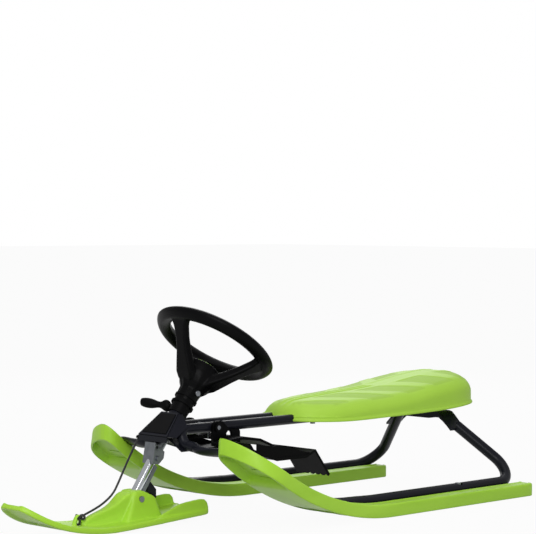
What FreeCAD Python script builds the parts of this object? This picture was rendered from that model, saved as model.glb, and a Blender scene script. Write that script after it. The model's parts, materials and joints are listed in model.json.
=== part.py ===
import FreeCAD, Part
import Sketcher
import math
import os

# Steering sled: two rear skis on a bent tube frame, a moulded seat, a foot brake and a front ski
# that turns with the steering wheel about a raked column.
# +X points forward, +Y to the rider's left, +Z up; the origin is on the ground under the middle.

Vector = FreeCAD.Vector
Placement = FreeCAD.Placement
Rotation = FreeCAD.Rotation

os.makedirs("parts", exist_ok=True)
doc = FreeCAD.newDocument("SteeringSled")

# Driving sizes: millimetres, degrees for names ending in angle, counts for names ending in count
SIZES = {
    # general
    "overrun": 3, "slack": 0.3, "bolt_slack": 0.2, "running_gap": 0.05,
    # frame tubes
    "tube_od": 19, "tube_wall": 1.6, "seat_tube_spread": 54, "seat_tube_height": 169,
    "seat_tube_rear_x": -476, "elbow_x": 209, "elbow_radius": 15,
    "elbow_low_x": 207, "elbow_low_y": 40, "elbow_low_over_tube": -26,
    "blade_bend_x": 198, "blade_bend_y": 108, "blade_bend_over_tube": -35,
    "blade_end_x": 162.3, "blade_end_aside": 7.5, "blade_end_height": 13.5,
    "blade_width": 34, "blade_thickness": 9, "blade_over_x": 198.8, "blade_over_aside": -49.5,
    "blade_over_height": 14.5,
    "blade_edge_x": 183.1, "blade_edge_aside": -19.5, "blade_edge_height": 16.5,
    # ski rails
    "rail_od": 22, "rail_flat_width": 33, "rail_flat_thickness": 9, "rail_round_x": -100,
    "rail_front_x": 158, "rail_bend_x": -576, "rail_bend_radius": 46,
    "leg_top_x": -491, "leg_top_y": 54, "leg_top_over_tube": -11, "rail_bolt_x": -377,
    # rear bridge and head bridge
    "bridge_thickness": 4, "bridge_x": -504, "bridge_flange": 11, "bridge_width": 44, "bridge_flat": 110,
    "bridge_span": 178, "bridge_drop": 34,
    "head_bridge_x": 209, "head_bridge_width": 24, "head_bridge_top_over_tube": -16,
    "head_bridge_span": 92,
    "head_bridge_drop": 18,
    # rear skis
    "ski_spread": 395, "ski_width": 109, "ski_rear_x": -550, "ski_height": 25, "ski_wall": 4,
    "channel_width": 38, "channel_floor": 14, "channel_end_x": 172, "recess_end_x": 40,
    "ski_bend_x": -130, "ski_bend_radius": 550, "ski_tip_angle": 33, "ski_tip_run": 110,
    "ski_tip_inner_x": 242, "ski_tip_outer_x": 196, "ski_rear_corner": 10, "ski_inner_corner": 20,
    "ski_outer_corner": 46,
    # rail bolts
    "rail_bolt_od": 6, "rail_head_od": 12, "rail_head_height": 4, "washer_od": 16,
    "washer_thickness": 1.5,
    "nut_height": 4, "nut_corner_od": 11.5, "dimple_od": 17, "dimple_depth": 4,
    # seat
    "seat_front_x": -72, "seat_length": 512, "seat_width": 223, "seat_rim_over_tube": -5,
    "seat_front_top_over_tube": 35,
    "seat_rear_top_over_tube": 74, "seat_wall": 3.5, "seat_corner": 22, "seat_draft": 7,
    "rib_thickness": 16,
    "front_rib_x": -140, "rear_rib_x": -430, "seat_screw_od": 5, "seat_screw_reach": 13,
    "seat_screw_head_od": 10, "seat_screw_head_height": 3,
    # steering head
    "head_x": 175.7, "head_over_tube": 43.9, "rake_angle": 39, "column_od": 22, "column_bore": 18,
    "column_top": 70, "column_length": 180, "bush_wall": 1.5, "bush_length": 14, "head_tube_od": 29,
    "head_tube_top": -12, "head_tube_length": 66,
    # collar
    "collar_top": 13, "collar_bottom": -24, "collar_od": 38, "collar_ridge_od": 44, "collar_foot_od": 35,
    "ridge_height": 4, "collar_shelf": 5,
    # console
    "console_top": -31, "console_bottom": -88, "console_top_reach": 14.8, "console_bottom_reach": 23,
    "console_top_width": 66, "console_bottom_width": 88, "console_back_reach": -5, "console_back_z": -38,
    "console_back_width": 76, "sheet": 2, "lip_height": 7, "plate_thickness": 1, "plate_margin": 5,
    "gusset_thickness": 3, "gusset_y": 19, "gusset_rear_x": 178, "gusset_front_x": 204,
    "gusset_top_over_tube": 27,
    # steering wheel
    "rim_height": 132, "rim_od": 236, "rim_width": 27, "rim_depth": 22, "hub_top": 80, "hub_od": 68,
    "hub_neck_od": 42, "hub_neck_height": 36, "hub_wall_height": 57, "sleeve_od": 34, "sleeve_bottom": 2,
    "spoke_width": 32, "spoke_depth": 14, "spoke_root_width": 42, "spoke_root_depth": 20,
    "spoke_root_height": 50, "spoke_end_width": 50, "wheel_lean_angle": 3.2, "cap_od": 60, "cap_height": 5,
    "cap_recess": 2, "cap_round": 2, "hub_bolt_height": 36, "hub_bolt_od": 6, "hub_bolt_head_od": 11,
    "hub_bolt_head_height": 4,
    # yoke and leg
    "leg_frame_x": 244, "leg_frame_over_tube": -43, "yoke_width": 28,
    "yoke_sheet": 2.5, "yoke_front_top_x": 255,
    "yoke_front_top_over_tube": -21, "yoke_front_low_x": 262, "yoke_front_low_over_tube": -59,
    "yoke_rear_low_x": 247,
    "yoke_rear_low_over_tube": -61, "yoke_ear_x": 235, "yoke_ear_over_tube": -51, "yoke_rear_top_x": 233,
    "yoke_rear_top_over_tube": -39, "yoke_round": 7, "yoke_hole_od": 6, "yoke_hole_x": 251,
    "yoke_hole_over_tube": -30,
    "leg_od": 18, "leg_bore": 14, "leg_foot_x": 308.24, "leg_foot_z": 34.26,
    "channel_back": 12, "channel_plate": 2.5, "channel_plate_width": 18,
    "channel_plate_flange": 7, "channel_plate_top": -20, "channel_plate_rise": 18,
    "stay_width": 12, "stay_rear_x": 246,
    "stay_top_x": 266, "stay_top_z": 84, "stay_mid_z": 62, "stay_foot_z": 46, "stay_foot_x": 268,
    "yoke_bolt_od": 6, "yoke_bolt_height": -9, "yoke_bolt_head_od": 10, "yoke_bolt_head_height": 4,
    # front ski
    "fski_rear_x": 151, "fski_pitch_angle": 2.5, "fski_pitch_x": 440, "fski_tip_x": 577,
    "fski_width": 118, "fski_rear_width": 104, "fski_tip_width": 74,
    "fski_thickness": 10, "fski_bend_x": 432, "fski_bend_radius": 230, "fski_tip_angle": 38,
    "fski_tip_run": 30, "fski_tip_round": 30, "fski_rear_round": 12, "fski_shoulder_x": 520,
    "fski_groove_width": 30, "fski_groove_depth": 4, "fski_groove_margin": 14,
    "tower_top": 57, "tower_waist": 24, "tower_foot_front_x": 425, "tower_foot_rear_x": 226,
    "tower_waist_front_x": 350, "tower_waist_rear_x": 234, "tower_top_front_x": 305,
    "tower_top_rear_x": 264, "tower_foot_width": 92, "tower_waist_width": 66, "tower_top_width": 40,
    "tower_round": 8, "tower_rear_cut_x": 276, "tower_rear_cut_low_x": 236, "tower_rear_cut_low_z": 37,
    "tower_hole_front_x": 332, "tower_hole_rear_x": 312, "tower_hole_width": 20, "tower_hole_depth": 34,
    "tower_bolt_rise": 20, "tower_bolt_od": 6, "tower_bolt_length": 60,
    "tower_bolt_head_od": 11, "tower_bolt_head_height": 4, "fin_rear_x": 156, "fin_front_x": 288,
    "fin_top_x": 216, "fin_top": 30, "fin_thickness": 5, "fin_spread": 94, "fin_round": 6,
    "loop_x": 424, "loop_od": 22, "loop_thickness": 9, "loop_rise": 14,
    # brake
    "brake_x": 128, "rod_od": 8, "rod_length": 94, "rod_cap_od": 16, "rod_cap_thickness": 3,
    "brake_sheet": 5, "brake_front_x": 175, "brake_front_over_tube": -29, "brake_plate_x": 95,
    "brake_plate_over_tube": -22,
    "brake_web_x": 52, "brake_web_over_tube": -28, "brake_web_y": 77, "brake_cross_rear_over_tube": -41,
    "pan_front_x": 150, "pan_front_over_tube": -29, "pan_slope_x": 104, "pan_slope_over_tube": -45,
    "pan_x": 60, "pan_over_tube": -59, "pan_rear_x": -16,
    "brake_fold_x": -38, "brake_fold_over_tube": -50, "brake_claw_x": -76, "brake_claw_over_tube": -99,
    "brake_half_width": 132, "brake_lobe_in": 62, "brake_lobe_rear_in": 48, "brake_cross_front_x": 121.5,
    "brake_cross_rear_x": 20, "brake_notch": 17, "brake_notch_y": 53, "brake_notch_x": 3,
    "brake_outer_front_x": 150, "brake_round": 12, "ear_thickness": 6, "ear_gap": 1, "ear_od": 24,
    "ear_rear_x": 71, "ear_shoulder_x": 98, "ear_shoulder_over_tube": -6, "ear_hole_od": 15,
    "ear_hole_x": 99,
    "ear_hole_over_tube": -15, "tooth_count": 6, "tooth_depth": 6, "stud_od": 6, "stud_height": 2.5,
    "stud_step": 18,
    "stud_row_step": 15.5, "stud_x": 24, "stud_y": 118,
    # brake spring
    "spring_wire": 2, "spring_od": 12.6, "spring_gap": 0.8, "spring_turn_count": 7, "spring_arm": 24,
    # tow handle, cord and what holds them
    "handle_x": 184, "handle_y": -26, "handle_over_tube": 38, "handle_far_x": 208, "handle_far_y": -80,
    "handle_far_over_tube": 44, "handle_od": 20, "peg_od": 7, "peg_depth": 20, "peg_root": 11,
    "cord_od": 4, "eyelet_od": 10, "eyelet_length": 5, "knot_od": 11,
    # points the cord passes, from the eyelet to the knot
    "cord_a_x": 249, "cord_a_y": -41, "cord_a_z": 151, "cord_b_x": 261, "cord_b_y": -45, "cord_b_z": 127,
    "cord_c_x": 276, "cord_c_y": -47, "cord_c_z": 99, "cord_d_x": 304, "cord_d_y": -32, "cord_d_z": 75,
    "cord_e_x": 332, "cord_e_y": -13, "cord_e_z": 60, "cord_f_x": 362, "cord_f_y": -3, "cord_f_z": 47,
    "cord_g_x": 392, "cord_g_y": 1, "cord_g_z": 37, "cord_h_x": 415, "cord_h_y": 1, "cord_h_z": 30,
}

sheet = doc.addObject("Spreadsheet::Sheet", "Sizes")
for row, (alias, number) in enumerate(SIZES.items(), start=1):
    sheet.set(f"A{row}", alias)
    sheet.set(f"B{row}", str(number))
    sheet.setAlias(f"B{row}", alias)
doc.recompute()


class Values:
    """The sheet's sizes as attributes."""


s = Values()
for alias in SIZES:
    setattr(s, alias, float(sheet.get(alias)))

# heights over the ground of what goes up and down with the seat tubes
for alias in SIZES:
    if alias.endswith("_over_tube"):
        setattr(s, alias.replace("_over_tube", "_z"), s.seat_tube_height + getattr(s, alias))

pieces = []


def keep(thing, label):
    """Name a finished sub-part and put it on the list of pieces."""
    thing.Label = label
    pieces.append(thing)
    return thing


def feature(label, shape):
    """A sub-part whose shape is worked out below."""
    thing = doc.addObject("Part::Feature", label)
    thing.Shape = shape
    return keep(thing, label)


def mirrored(label, source):
    """The right-hand twin of a left-hand sub-part."""
    twin = doc.addObject("Part::Mirroring", label)
    twin.Source = source
    twin.Normal = Vector(0, 1, 0)
    return keep(twin, label)


def body_sketch(body, role, name):
    """An empty sketch on one of the body's own origin planes."""
    sketch = body.newObject("Sketcher::SketchObject", name)
    plane = [item for item in body.Origin.OriginFeatures if item.Role == role][0]
    sketch.AttachmentSupport = [(plane, "")]
    sketch.MapMode = "FlatFace"
    return sketch


def bound_circle(sketch, diameter):
    """A circle about the sketch's origin whose diameter follows an expression of the sheet."""
    circle = sketch.addGeometry(Part.Circle(Vector(0, 0, 0), Vector(0, 0, 1), s.tube_od))
    sketch.addConstraint(Sketcher.Constraint("Coincident", circle, 3, -1, 1))
    index = sketch.addConstraint(Sketcher.Constraint("Diameter", circle, s.tube_od))
    sketch.setExpression(f"Constraints[{index}]", diameter)


def padded(body, name, diameters, length, backwards=False):
    """Pad one circle, or the ring between two, from the body's XY plane."""
    sketch = body_sketch(body, "XY_Plane", name + "_sketch")
    for diameter in diameters:
        bound_circle(sketch, diameter)
    pad = body.newObject("PartDesign::Pad", name)
    pad.Profile = sketch
    pad.setExpression("Length", length)
    pad.Reversed = backwards
    return pad


def turned_body(name, steps, place):
    """A round piece of one or two stacked steps: (diameters, length, backwards) for each."""
    body = doc.addObject("PartDesign::Body", name)
    for number, (diameters, length, backwards) in enumerate(steps, start=1):
        padded(body, f"{name}_step_{number}", diameters, length, backwards)
    body.Placement = place
    return body


def ring(label, outer, inner, length, place):
    """A tube, bush or washer as a sub-part."""
    return keep(turned_body(label, [((outer, inner), length, False)], place), label)


def bolt_master(name, shank, length, head, head_height):
    """A bolt along +Z with its head below the XY plane."""
    return turned_body(name, [((shank,), length, False), ((head,), head_height, True)], Placement())


def nut_master(name, hole):
    """A hexagon nut above the XY plane."""
    prism = doc.addObject("Part::Prism", name + "_hexagon")
    prism.Polygon = 6
    prism.setExpression("Circumradius", "Sizes.nut_corner_od / 2")
    prism.setExpression("Height", "Sizes.nut_height")
    bore = doc.addObject("Part::Cylinder", name + "_bore")
    bore.setExpression("Radius", f"{hole} / 2 + Sizes.bolt_slack / 2")
    bore.setExpression("Height", "Sizes.nut_height")
    nut = doc.addObject("Part::Cut", name)
    nut.Base = prism
    nut.Tool = bore
    return nut


def group(label, master, places):
    """Copies of one fastener as separate solids of one sub-part."""
    doc.recompute()
    copies = []
    for place in places:
        copy = master.Shape.copy()
        copy.Placement = place
        copies.append(copy)
    return feature(label, Part.makeCompound(copies))


def pointing(point, direction):
    """The placement that takes +Z to a direction and the origin to a point."""
    return Placement(point, Rotation(Vector(0, 0, 1), direction))


def unit(vector):
    """The same direction with length one."""
    return Vector(vector).normalize()


def corner_arc(start, corner, end):
    """The arc that is tangent to both sides of a corner at two points equally far from it."""
    half_turn = math.pi / 2 - (start - corner).getAngle(end - corner) / 2
    reach = start.distanceToPoint(corner)
    middle = corner + unit((start + end) / 2 - corner) * reach * math.tan(half_turn / 2)
    return Part.Arc(start, middle, end).toShape()


def bent_path(points, radii):
    """Straight runs joined by tangent arcs, one radius for each inner point."""
    edges = []
    here = points[0]
    for before, corner, after, radius in zip(points, points[1:], points[2:], radii):
        back = unit(before - corner)
        ahead = unit(after - corner)
        reach = radius * math.tan((math.pi - back.getAngle(ahead)) / 2)
        edges.append(Part.LineSegment(here, corner + back * reach).toShape())
        edges.append(corner_arc(corner + back * reach, corner, corner + ahead * reach))
        here = corner + ahead * reach
    edges.append(Part.LineSegment(here, points[-1]).toShape())
    return Part.Wire(edges)


def round_bar(path, radius):
    """A round solid along a path."""
    first = path.Edges[0]
    start = first.valueAt(first.FirstParameter)
    ahead = first.tangentAt(first.FirstParameter)
    circle = Part.Wire([Part.Circle(start, ahead, radius).toShape()])
    return path.makePipeShell([circle], True, False)


def outline(corners):
    """A closed wire through (point, radius) corners, rounded where the radius isn't zero."""
    points = [corner[0] for corner in corners]
    edges = []
    ends = []
    for index, (point, radius) in enumerate(corners):
        back = unit(points[index - 1] - point)
        ahead = unit(points[(index + 1) % len(points)] - point)
        reach = radius * math.tan((math.pi - back.getAngle(ahead)) / 2)
        ends.append((point + back * reach, point + ahead * reach))
    for index, (point, radius) in enumerate(corners):
        if radius:
            edges.append(corner_arc(ends[index][0], point, ends[index][1]))
        edges.append(Part.LineSegment(ends[index][1], ends[(index + 1) % len(ends)][0]).toShape())
    return Part.Wire(edges)


def prism(corners, depth):
    """An outline extruded by a vector."""
    return Part.Face(outline(corners)).extrude(depth)


def ellipse(centre, across, up, half_width, half_height):
    """An ellipse about a centre, as a wire that starts on its wide side."""
    wide = centre + unit(across) * max(half_width, half_height + s.overrun / 1000)
    return Part.Wire([Part.Ellipse(wide, centre + unit(up) * half_height, centre).toShape()])


def plain(points):
    """Corners without rounding."""
    return [(point, 0) for point in points]


def box_between(low, high):
    """A block between two corners."""
    return Part.makeBox(high.x - low.x, high.y - low.y, high.z - low.z, low)


tube_radius = s.tube_od / 2
bore_radius = tube_radius - s.tube_wall
ski_y = s.ski_spread / 2
tube_y = s.seat_tube_spread / 2
rail_radius = s.rail_od / 2
rail_bore = rail_radius - s.tube_wall
rail_height = s.channel_floor + s.slack + rail_radius
far = s.ski_bend_radius * 2

# Rear skis: the side view is a flat run, an arc and a straight tip, and every surface is an offset of it


def runner_line(profile, height):
    """Corner points of a runner's line at a height above its sole: ends, arc ends and arc middle."""
    rear_x, bend_x, radius, angle, run = profile
    tilt = math.radians(angle)
    inner = radius - height

    def on_arc(turn):
        return Vector(bend_x + inner * math.sin(turn), 0, radius - inner * math.cos(turn))

    tip = on_arc(tilt) + Vector(math.cos(tilt), 0, math.sin(tilt)) * run
    return Vector(rear_x, 0, height), on_arc(0), on_arc(tilt / 2), on_arc(tilt), tip


def runner_slab(profile, low, high, y_from, y_to):
    """The part of a runner between two heights and two sides."""
    a_rear, a_start, a_middle, a_end, a_tip = runner_line(profile, low)
    b_rear, b_start, b_middle, b_end, b_tip = runner_line(profile, high)
    edges = [
        Part.LineSegment(a_rear, a_start).toShape(),
        Part.Arc(a_start, a_middle, a_end).toShape(),
        Part.LineSegment(a_end, a_tip).toShape(),
        Part.LineSegment(a_tip, b_tip).toShape(),
        Part.LineSegment(b_tip, b_end).toShape(),
        Part.Arc(b_end, b_middle, b_start).toShape(),
        Part.LineSegment(b_start, b_rear).toShape(),
        Part.LineSegment(b_rear, a_rear).toShape(),
    ]
    face = Part.Face(Part.Wire(edges))
    face.translate(Vector(0, y_from, 0))
    return face.extrude(Vector(0, y_to - y_from, 0))


ski_profile = (s.ski_rear_x - s.overrun, s.ski_bend_x, s.ski_bend_radius, s.ski_tip_angle, s.ski_tip_run)
ski_inner = ski_y - s.ski_width / 2
ski_outer = ski_y + s.ski_width / 2


def rear_ski():
    """Left rear ski: two raised strips beside a channel, hollow from below, with a turned-up tip."""
    plan = prism([
        (Vector(s.ski_rear_x, ski_inner, -far), s.ski_rear_corner),
        (Vector(s.ski_tip_inner_x, ski_inner, -far), s.ski_inner_corner),
        (Vector(s.ski_tip_outer_x, ski_outer, -far), s.ski_outer_corner),
        (Vector(s.ski_rear_x, ski_outer, -far), s.ski_rear_corner),
    ], Vector(0, 0, 2 * far))
    ski = runner_slab(ski_profile, 0, s.ski_height, ski_inner, ski_outer).common(plan)
    half = s.channel_width / 2
    channel = runner_slab(ski_profile, s.channel_floor, s.ski_height + s.overrun, ski_y - half, ski_y + half)
    behind_lip = box_between(Vector(-far, ski_inner, -far), Vector(s.channel_end_x, ski_outer, far))
    ski = ski.cut(channel.common(behind_lip))
    inside = box_between(Vector(s.ski_rear_x + s.ski_wall, ski_inner, -far),
                         Vector(s.recess_end_x, ski_outer, far))
    wall = s.ski_wall
    for low_y, high_y, ceiling in (
        (ski_inner + wall, ski_y - half - wall, s.ski_height - wall),
        (ski_y - half, ski_y + half, s.channel_floor - wall),
        (ski_y + half + wall, ski_outer - wall, s.ski_height - wall),
    ):
        recess = runner_slab(ski_profile, -s.overrun, ceiling, low_y, high_y)
        ski = ski.cut(recess.common(inside))
    hole = Part.makeCylinder(s.rail_bolt_od / 2 + s.bolt_slack, s.ski_height,
                             Vector(s.rail_bolt_x, ski_y, 0))
    return ski.cut(hole)


rear_ski_left = feature("rear_ski_left", rear_ski())
mirrored("rear_ski_right", rear_ski_left)

# Ski rails: flattened on the ski's upturn, round along the channel, bent up to the seat at the rear


def over_floor(x_place, height):
    """The turn of the ski's channel floor at a place along X, and a point at a height over it."""
    turn = math.asin(min(1, max(0, (x_place - s.ski_bend_x) / s.ski_bend_radius)))
    radius = s.ski_bend_radius - s.channel_floor - height
    return turn, Vector(s.ski_bend_x + radius * math.sin(turn), ski_y,
                        s.ski_bend_radius - radius * math.cos(turn))


def rail_station(x_place, half_width, half_height, lift):
    """An oval section of the flattened rail, square to the ski's channel floor at a place along X."""
    turn, centre = over_floor(x_place, s.slack + half_height + lift)
    up = Vector(-math.sin(turn), 0, math.cos(turn))
    return ellipse(centre, Vector(0, 1, 0), up, half_width, half_height)


def ski_rail():
    """Left ski rail."""
    flat = (s.rail_flat_width / 2, s.rail_flat_thickness / 2)
    gap = s.rail_front_x - s.rail_round_x
    stations = []
    end_shares = ((0, 0), (0.2, 0), (0.4, 0.05), (0.6, 0.3), (0.8, 0.75), (1, 1))
    for place_share, round_share in end_shares:
        half_width, half_height = [size + (rail_radius - s.slack - size) * round_share for size in flat]
        stations.append(rail_station(s.rail_front_x - gap * place_share, half_width, half_height,
                                     s.slack * round_share))
    front = Part.makeLoft(stations, True, False)
    joint = over_floor(s.rail_round_x, s.slack + rail_radius)[1]
    half_way = over_floor((s.rail_round_x + s.ski_bend_x) / 2, s.slack + rail_radius)[1]
    level = Vector(s.ski_bend_x, ski_y, rail_height)
    rear = bent_path([
        level,
        Vector(s.rail_bend_x, ski_y, rail_height),
        Vector(s.leg_top_x, s.leg_top_y, s.leg_top_z),
    ], [s.rail_bend_radius])
    path = Part.Wire([Part.Arc(joint, half_way, level).toShape()] + rear.Edges)
    rail = front.fuse(round_bar(path, rail_radius))
    rail = rail.cut(round_bar(rear, rail_bore))
    top = rail_height + rail_radius
    seat = Part.makeCylinder(s.dimple_od / 2, s.rail_od,
                             Vector(s.rail_bolt_x, ski_y, top - s.dimple_depth))
    post = Part.makeCylinder(s.dimple_od / 2, s.rail_od - s.dimple_depth - s.tube_wall,
                             Vector(s.rail_bolt_x, ski_y, rail_height - rail_radius + s.tube_wall))
    hole = Part.makeCylinder(s.rail_bolt_od / 2 + s.bolt_slack, 2 * s.rail_od,
                             Vector(s.rail_bolt_x, ski_y, rail_height - s.rail_od))
    return rail.cut(seat).fuse(post).cut(hole).removeSplitter()


# Rear bridge: arched strip across the tops of the two legs, under the seat tubes

bridge_top = s.seat_tube_height - tube_radius


def strip_corners(flat, span, drop, thickness, top, x_place):
    """Corners of an arched strip seen from the front, upper side first."""
    upper = [Vector(x_place, y, z) for y, z in (
        (-span / 2, top - drop), (-flat / 2, top), (flat / 2, top), (span / 2, top - drop))]
    lower = [point - Vector(0, 0, thickness) for point in reversed(upper)]
    return plain(upper + lower)


def rear_bridge():
    """Arched channel: a strip with a flange down its front and rear edge."""
    rear_x = s.bridge_x - s.bridge_width / 2
    deep = prism(strip_corners(s.bridge_flat, s.bridge_span, s.bridge_drop,
                               s.bridge_thickness + s.bridge_flange, bridge_top, rear_x),
                 Vector(s.bridge_width, 0, 0))
    room = prism(strip_corners(s.bridge_flat + 2 * s.overrun, s.bridge_span + 2 * s.overrun,
                               s.bridge_drop, 2 * s.bridge_flange, bridge_top - s.bridge_thickness,
                               rear_x + s.bridge_thickness),
                 Vector(s.bridge_width - 2 * s.bridge_thickness, 0, 0))
    return deep.cut(room)


bridge_shape = rear_bridge()
above_bridge = prism(
    strip_corners(s.bridge_flat, s.bridge_span, s.bridge_drop, s.rail_od + s.bridge_thickness,
                  bridge_top + s.rail_od, s.bridge_x - s.bridge_width),
    Vector(2 * s.bridge_width, 0, 0))
rail_shape = ski_rail().cut([bridge_shape, above_bridge])
rail_shape = max(rail_shape.Solids, key=lambda solid: solid.Volume)
ski_rail_left = feature("ski_rail_left", rail_shape)
mirrored("ski_rail_right", ski_rail_left)
feature("rear_bridge", bridge_shape)

# Seat tubes: straight under the seat, bent down at the head, flattened into a blade that meets the rail


def seat_tube():
    """Left seat tube with its blade."""
    elbow_low = Vector(s.elbow_low_x, s.elbow_low_y, s.elbow_low_z)
    blade_bend = Vector(s.blade_bend_x, s.blade_bend_y, s.blade_bend_z)
    blade_end = over_floor(s.blade_end_x, s.blade_end_height)[1] + Vector(0, s.blade_end_aside, 0)
    flatten_share = 0.35
    neck = elbow_low + (blade_bend - elbow_low) * flatten_share
    path = bent_path([
        Vector(s.seat_tube_rear_x, tube_y, s.seat_tube_height),
        Vector(s.elbow_x, tube_y, s.seat_tube_height),
        elbow_low,
        neck,
    ], [s.elbow_radius, s.elbow_radius])
    blade_over = over_floor(s.blade_over_x, s.blade_over_height)[1] + Vector(0, s.blade_over_aside, 0)
    blade_edge = over_floor(s.blade_edge_x, s.blade_edge_height)[1] + Vector(0, s.blade_edge_aside, 0)
    tilt = math.radians(s.ski_tip_angle)
    ski_normal = Vector(-math.sin(tilt), 0, math.cos(tilt))
    stops = [elbow_low, neck, blade_bend, blade_over, blade_edge, blade_end]
    flat_shares = (0, 0.75, 1, 1, 1)
    sections = []
    for before, centre, after, share in zip(stops, stops[1:], stops[2:] + [None], flat_shares):
        ahead = unit(centre - before)
        if after:
            ahead = unit(ahead + unit(after - centre))
        across = unit(ahead.cross(ski_normal))
        neck_radius = tube_radius - s.slack
        half_width = neck_radius + (s.blade_width / 2 - neck_radius) * share
        half_height = neck_radius + (s.blade_thickness / 2 - neck_radius) * share
        sections.append(ellipse(centre, across, across.cross(ahead), half_width, half_height))
    blade = Part.makeLoft(sections, True, False)
    tube = round_bar(path, tube_radius).fuse(blade)
    tube = tube.cut(round_bar(path, bore_radius))
    rod_hole = Part.makeCylinder(s.rod_od / 2 + s.bolt_slack, 2 * s.tube_od,
                                 Vector(s.brake_x, tube_y - s.tube_od, s.seat_tube_height), Vector(0, 1, 0))
    tube = tube.cut(rod_hole)
    for x_place in (s.front_rib_x, s.rear_rib_x):
        tube = tube.cut(Part.makeCylinder(s.seat_screw_od / 2 + s.bolt_slack, 2 * s.tube_od,
                                          Vector(x_place, tube_y, s.seat_tube_height - s.tube_od)))
    tube = tube.cut([rail_shape, rear_ski_left.Shape])
    return max(tube.Solids, key=lambda solid: solid.Volume)


seat_tube_left = feature("seat_tube_left", seat_tube())
seat_tube_right = mirrored("seat_tube_right", seat_tube_left)
doc.recompute()

# Steering head: everything along the raked column is placed in the column's own frame

steer = Placement(Vector(s.head_x, 0, s.head_z), Rotation(Vector(0, 1, 0), -s.rake_angle))
leg_start = Vector(s.leg_frame_x, 0, s.leg_frame_z)
leg_run = Vector(s.leg_foot_x, 0, s.leg_foot_z) - leg_start
leg_length = leg_run.Length
leg_place = Placement(leg_start, Rotation(Vector(0, 1, 0), -math.degrees(math.atan2(leg_run.x, -leg_run.z))))


def along(frame, x=0, y=0, z=0):
    """A placement at a point of a frame, square to it."""
    return frame.multiply(Placement(Vector(x, y, z), Rotation()))


head_bottom = s.head_tube_top - s.head_tube_length
bush_od = "Sizes.column_od + 2 * Sizes.bush_wall"
head_tube = ring("head_tube", "Sizes.head_tube_od", bush_od, "Sizes.head_tube_length",
                 along(steer, z=head_bottom))
bush_bore = "Sizes.column_od + 2 * Sizes.running_gap"
ring("upper_bush", bush_od, bush_bore, "Sizes.bush_length", along(steer, z=s.head_tube_top - s.bush_length))
ring("lower_bush", bush_od, bush_bore, "Sizes.bush_length", along(steer, z=head_bottom))
doc.recompute()

# Head bridge: strip behind the head tube, between the elbows

head_bridge = prism(
    strip_corners(s.head_tube_od, s.head_bridge_span, s.head_bridge_drop, s.bridge_thickness,
                  s.head_bridge_top_z, s.head_bridge_x - s.head_bridge_width / 2),
    Vector(s.head_bridge_width, 0, 0))
head_solid = Part.makeCylinder(s.head_tube_od / 2, s.head_tube_length, Vector(0, 0, head_bottom))
head_solid.Placement = steer
tube_pair = [seat_tube_left.Shape, seat_tube_right.Shape]
column_room = Part.makeCylinder(s.head_tube_od / 2, 2 * s.head_tube_length,
                                Vector(0, 0, head_bottom - s.head_tube_length))
column_room.Placement = steer
head_bridge = head_bridge.cut(tube_pair + [column_room])
feature("head_bridge", max(head_bridge.Solids, key=lambda solid: solid.Volume))


def in_frame(frame, points):
    """Points of a frame as points of the sled."""
    return [frame.multVec(Vector(*point)) for point in points]


def sheet_piece(points, thickness):
    """A flat sheet through points, thickened towards its right-hand normal."""
    normal = unit((points[1] - points[0]).cross(points[2] - points[1]))
    return prism(plain(points), normal * thickness)


# Console: folded sheet in front of the head tube


def console():
    """Front plate, lip and two triangular cheeks."""
    top = s.console_top_width / 2
    bottom = s.console_bottom_width / 2
    back = s.console_back_width / 2
    lip_bottom = s.console_bottom - s.lip_height
    up_left, up_right, low_left, low_right = in_frame(steer, (
        (s.console_top_reach, top, s.console_top), (s.console_top_reach, -top, s.console_top),
        (s.console_bottom_reach, bottom, s.console_bottom),
        (s.console_bottom_reach, -bottom, s.console_bottom)))
    lip_left, lip_right = in_frame(steer, (
        (s.console_bottom_reach - s.lip_height, bottom, lip_bottom),
        (s.console_bottom_reach - s.lip_height, -bottom, lip_bottom)))
    back_left, back_right = in_frame(steer, (
        (s.console_back_reach, back, s.console_back_z), (s.console_back_reach, -back, s.console_back_z)))
    shell = sheet_piece([up_left, low_left, low_right, up_right], -s.sheet)
    for points in (
        [low_left, lip_left, lip_right, low_right],
        [up_left, back_left, low_left],
        [up_right, low_right, back_right],
    ):
        shell = shell.fuse(sheet_piece(points, -s.sheet))
    shell = shell.cut(tube_pair + [head_solid])
    return max(shell.Solids, key=lambda solid: solid.Volume)


console_shape = console()
feature("steering_console", console_shape)


def console_plate():
    """Bare plate on the console's sloping face."""
    slope = (s.console_bottom_reach - s.console_top_reach) / (s.console_top - s.console_bottom)
    corners = []
    for z_place, half, side in (
        (s.console_top - s.plate_margin, s.console_top_width / 2 - s.plate_margin, 1),
        (s.console_bottom + s.plate_margin, s.console_bottom_width / 2 - 2 * s.plate_margin, 1),
        (s.console_bottom + s.plate_margin, s.console_bottom_width / 2 - 2 * s.plate_margin, -1),
        (s.console_top - s.plate_margin, s.console_top_width / 2 - s.plate_margin, -1),
    ):
        reach = s.console_top_reach + slope * (s.console_top - z_place)
        corners.append((reach, side * half, z_place))
    points = in_frame(steer, corners)
    outward = unit((points[2] - points[1]).cross(points[1] - points[0]))
    return sheet_piece([point + outward * s.sheet for point in points], -s.plate_thickness)


feature("console_plate", console_plate())

# Column collar: ridged plastic collar over the top of the head tube


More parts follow.
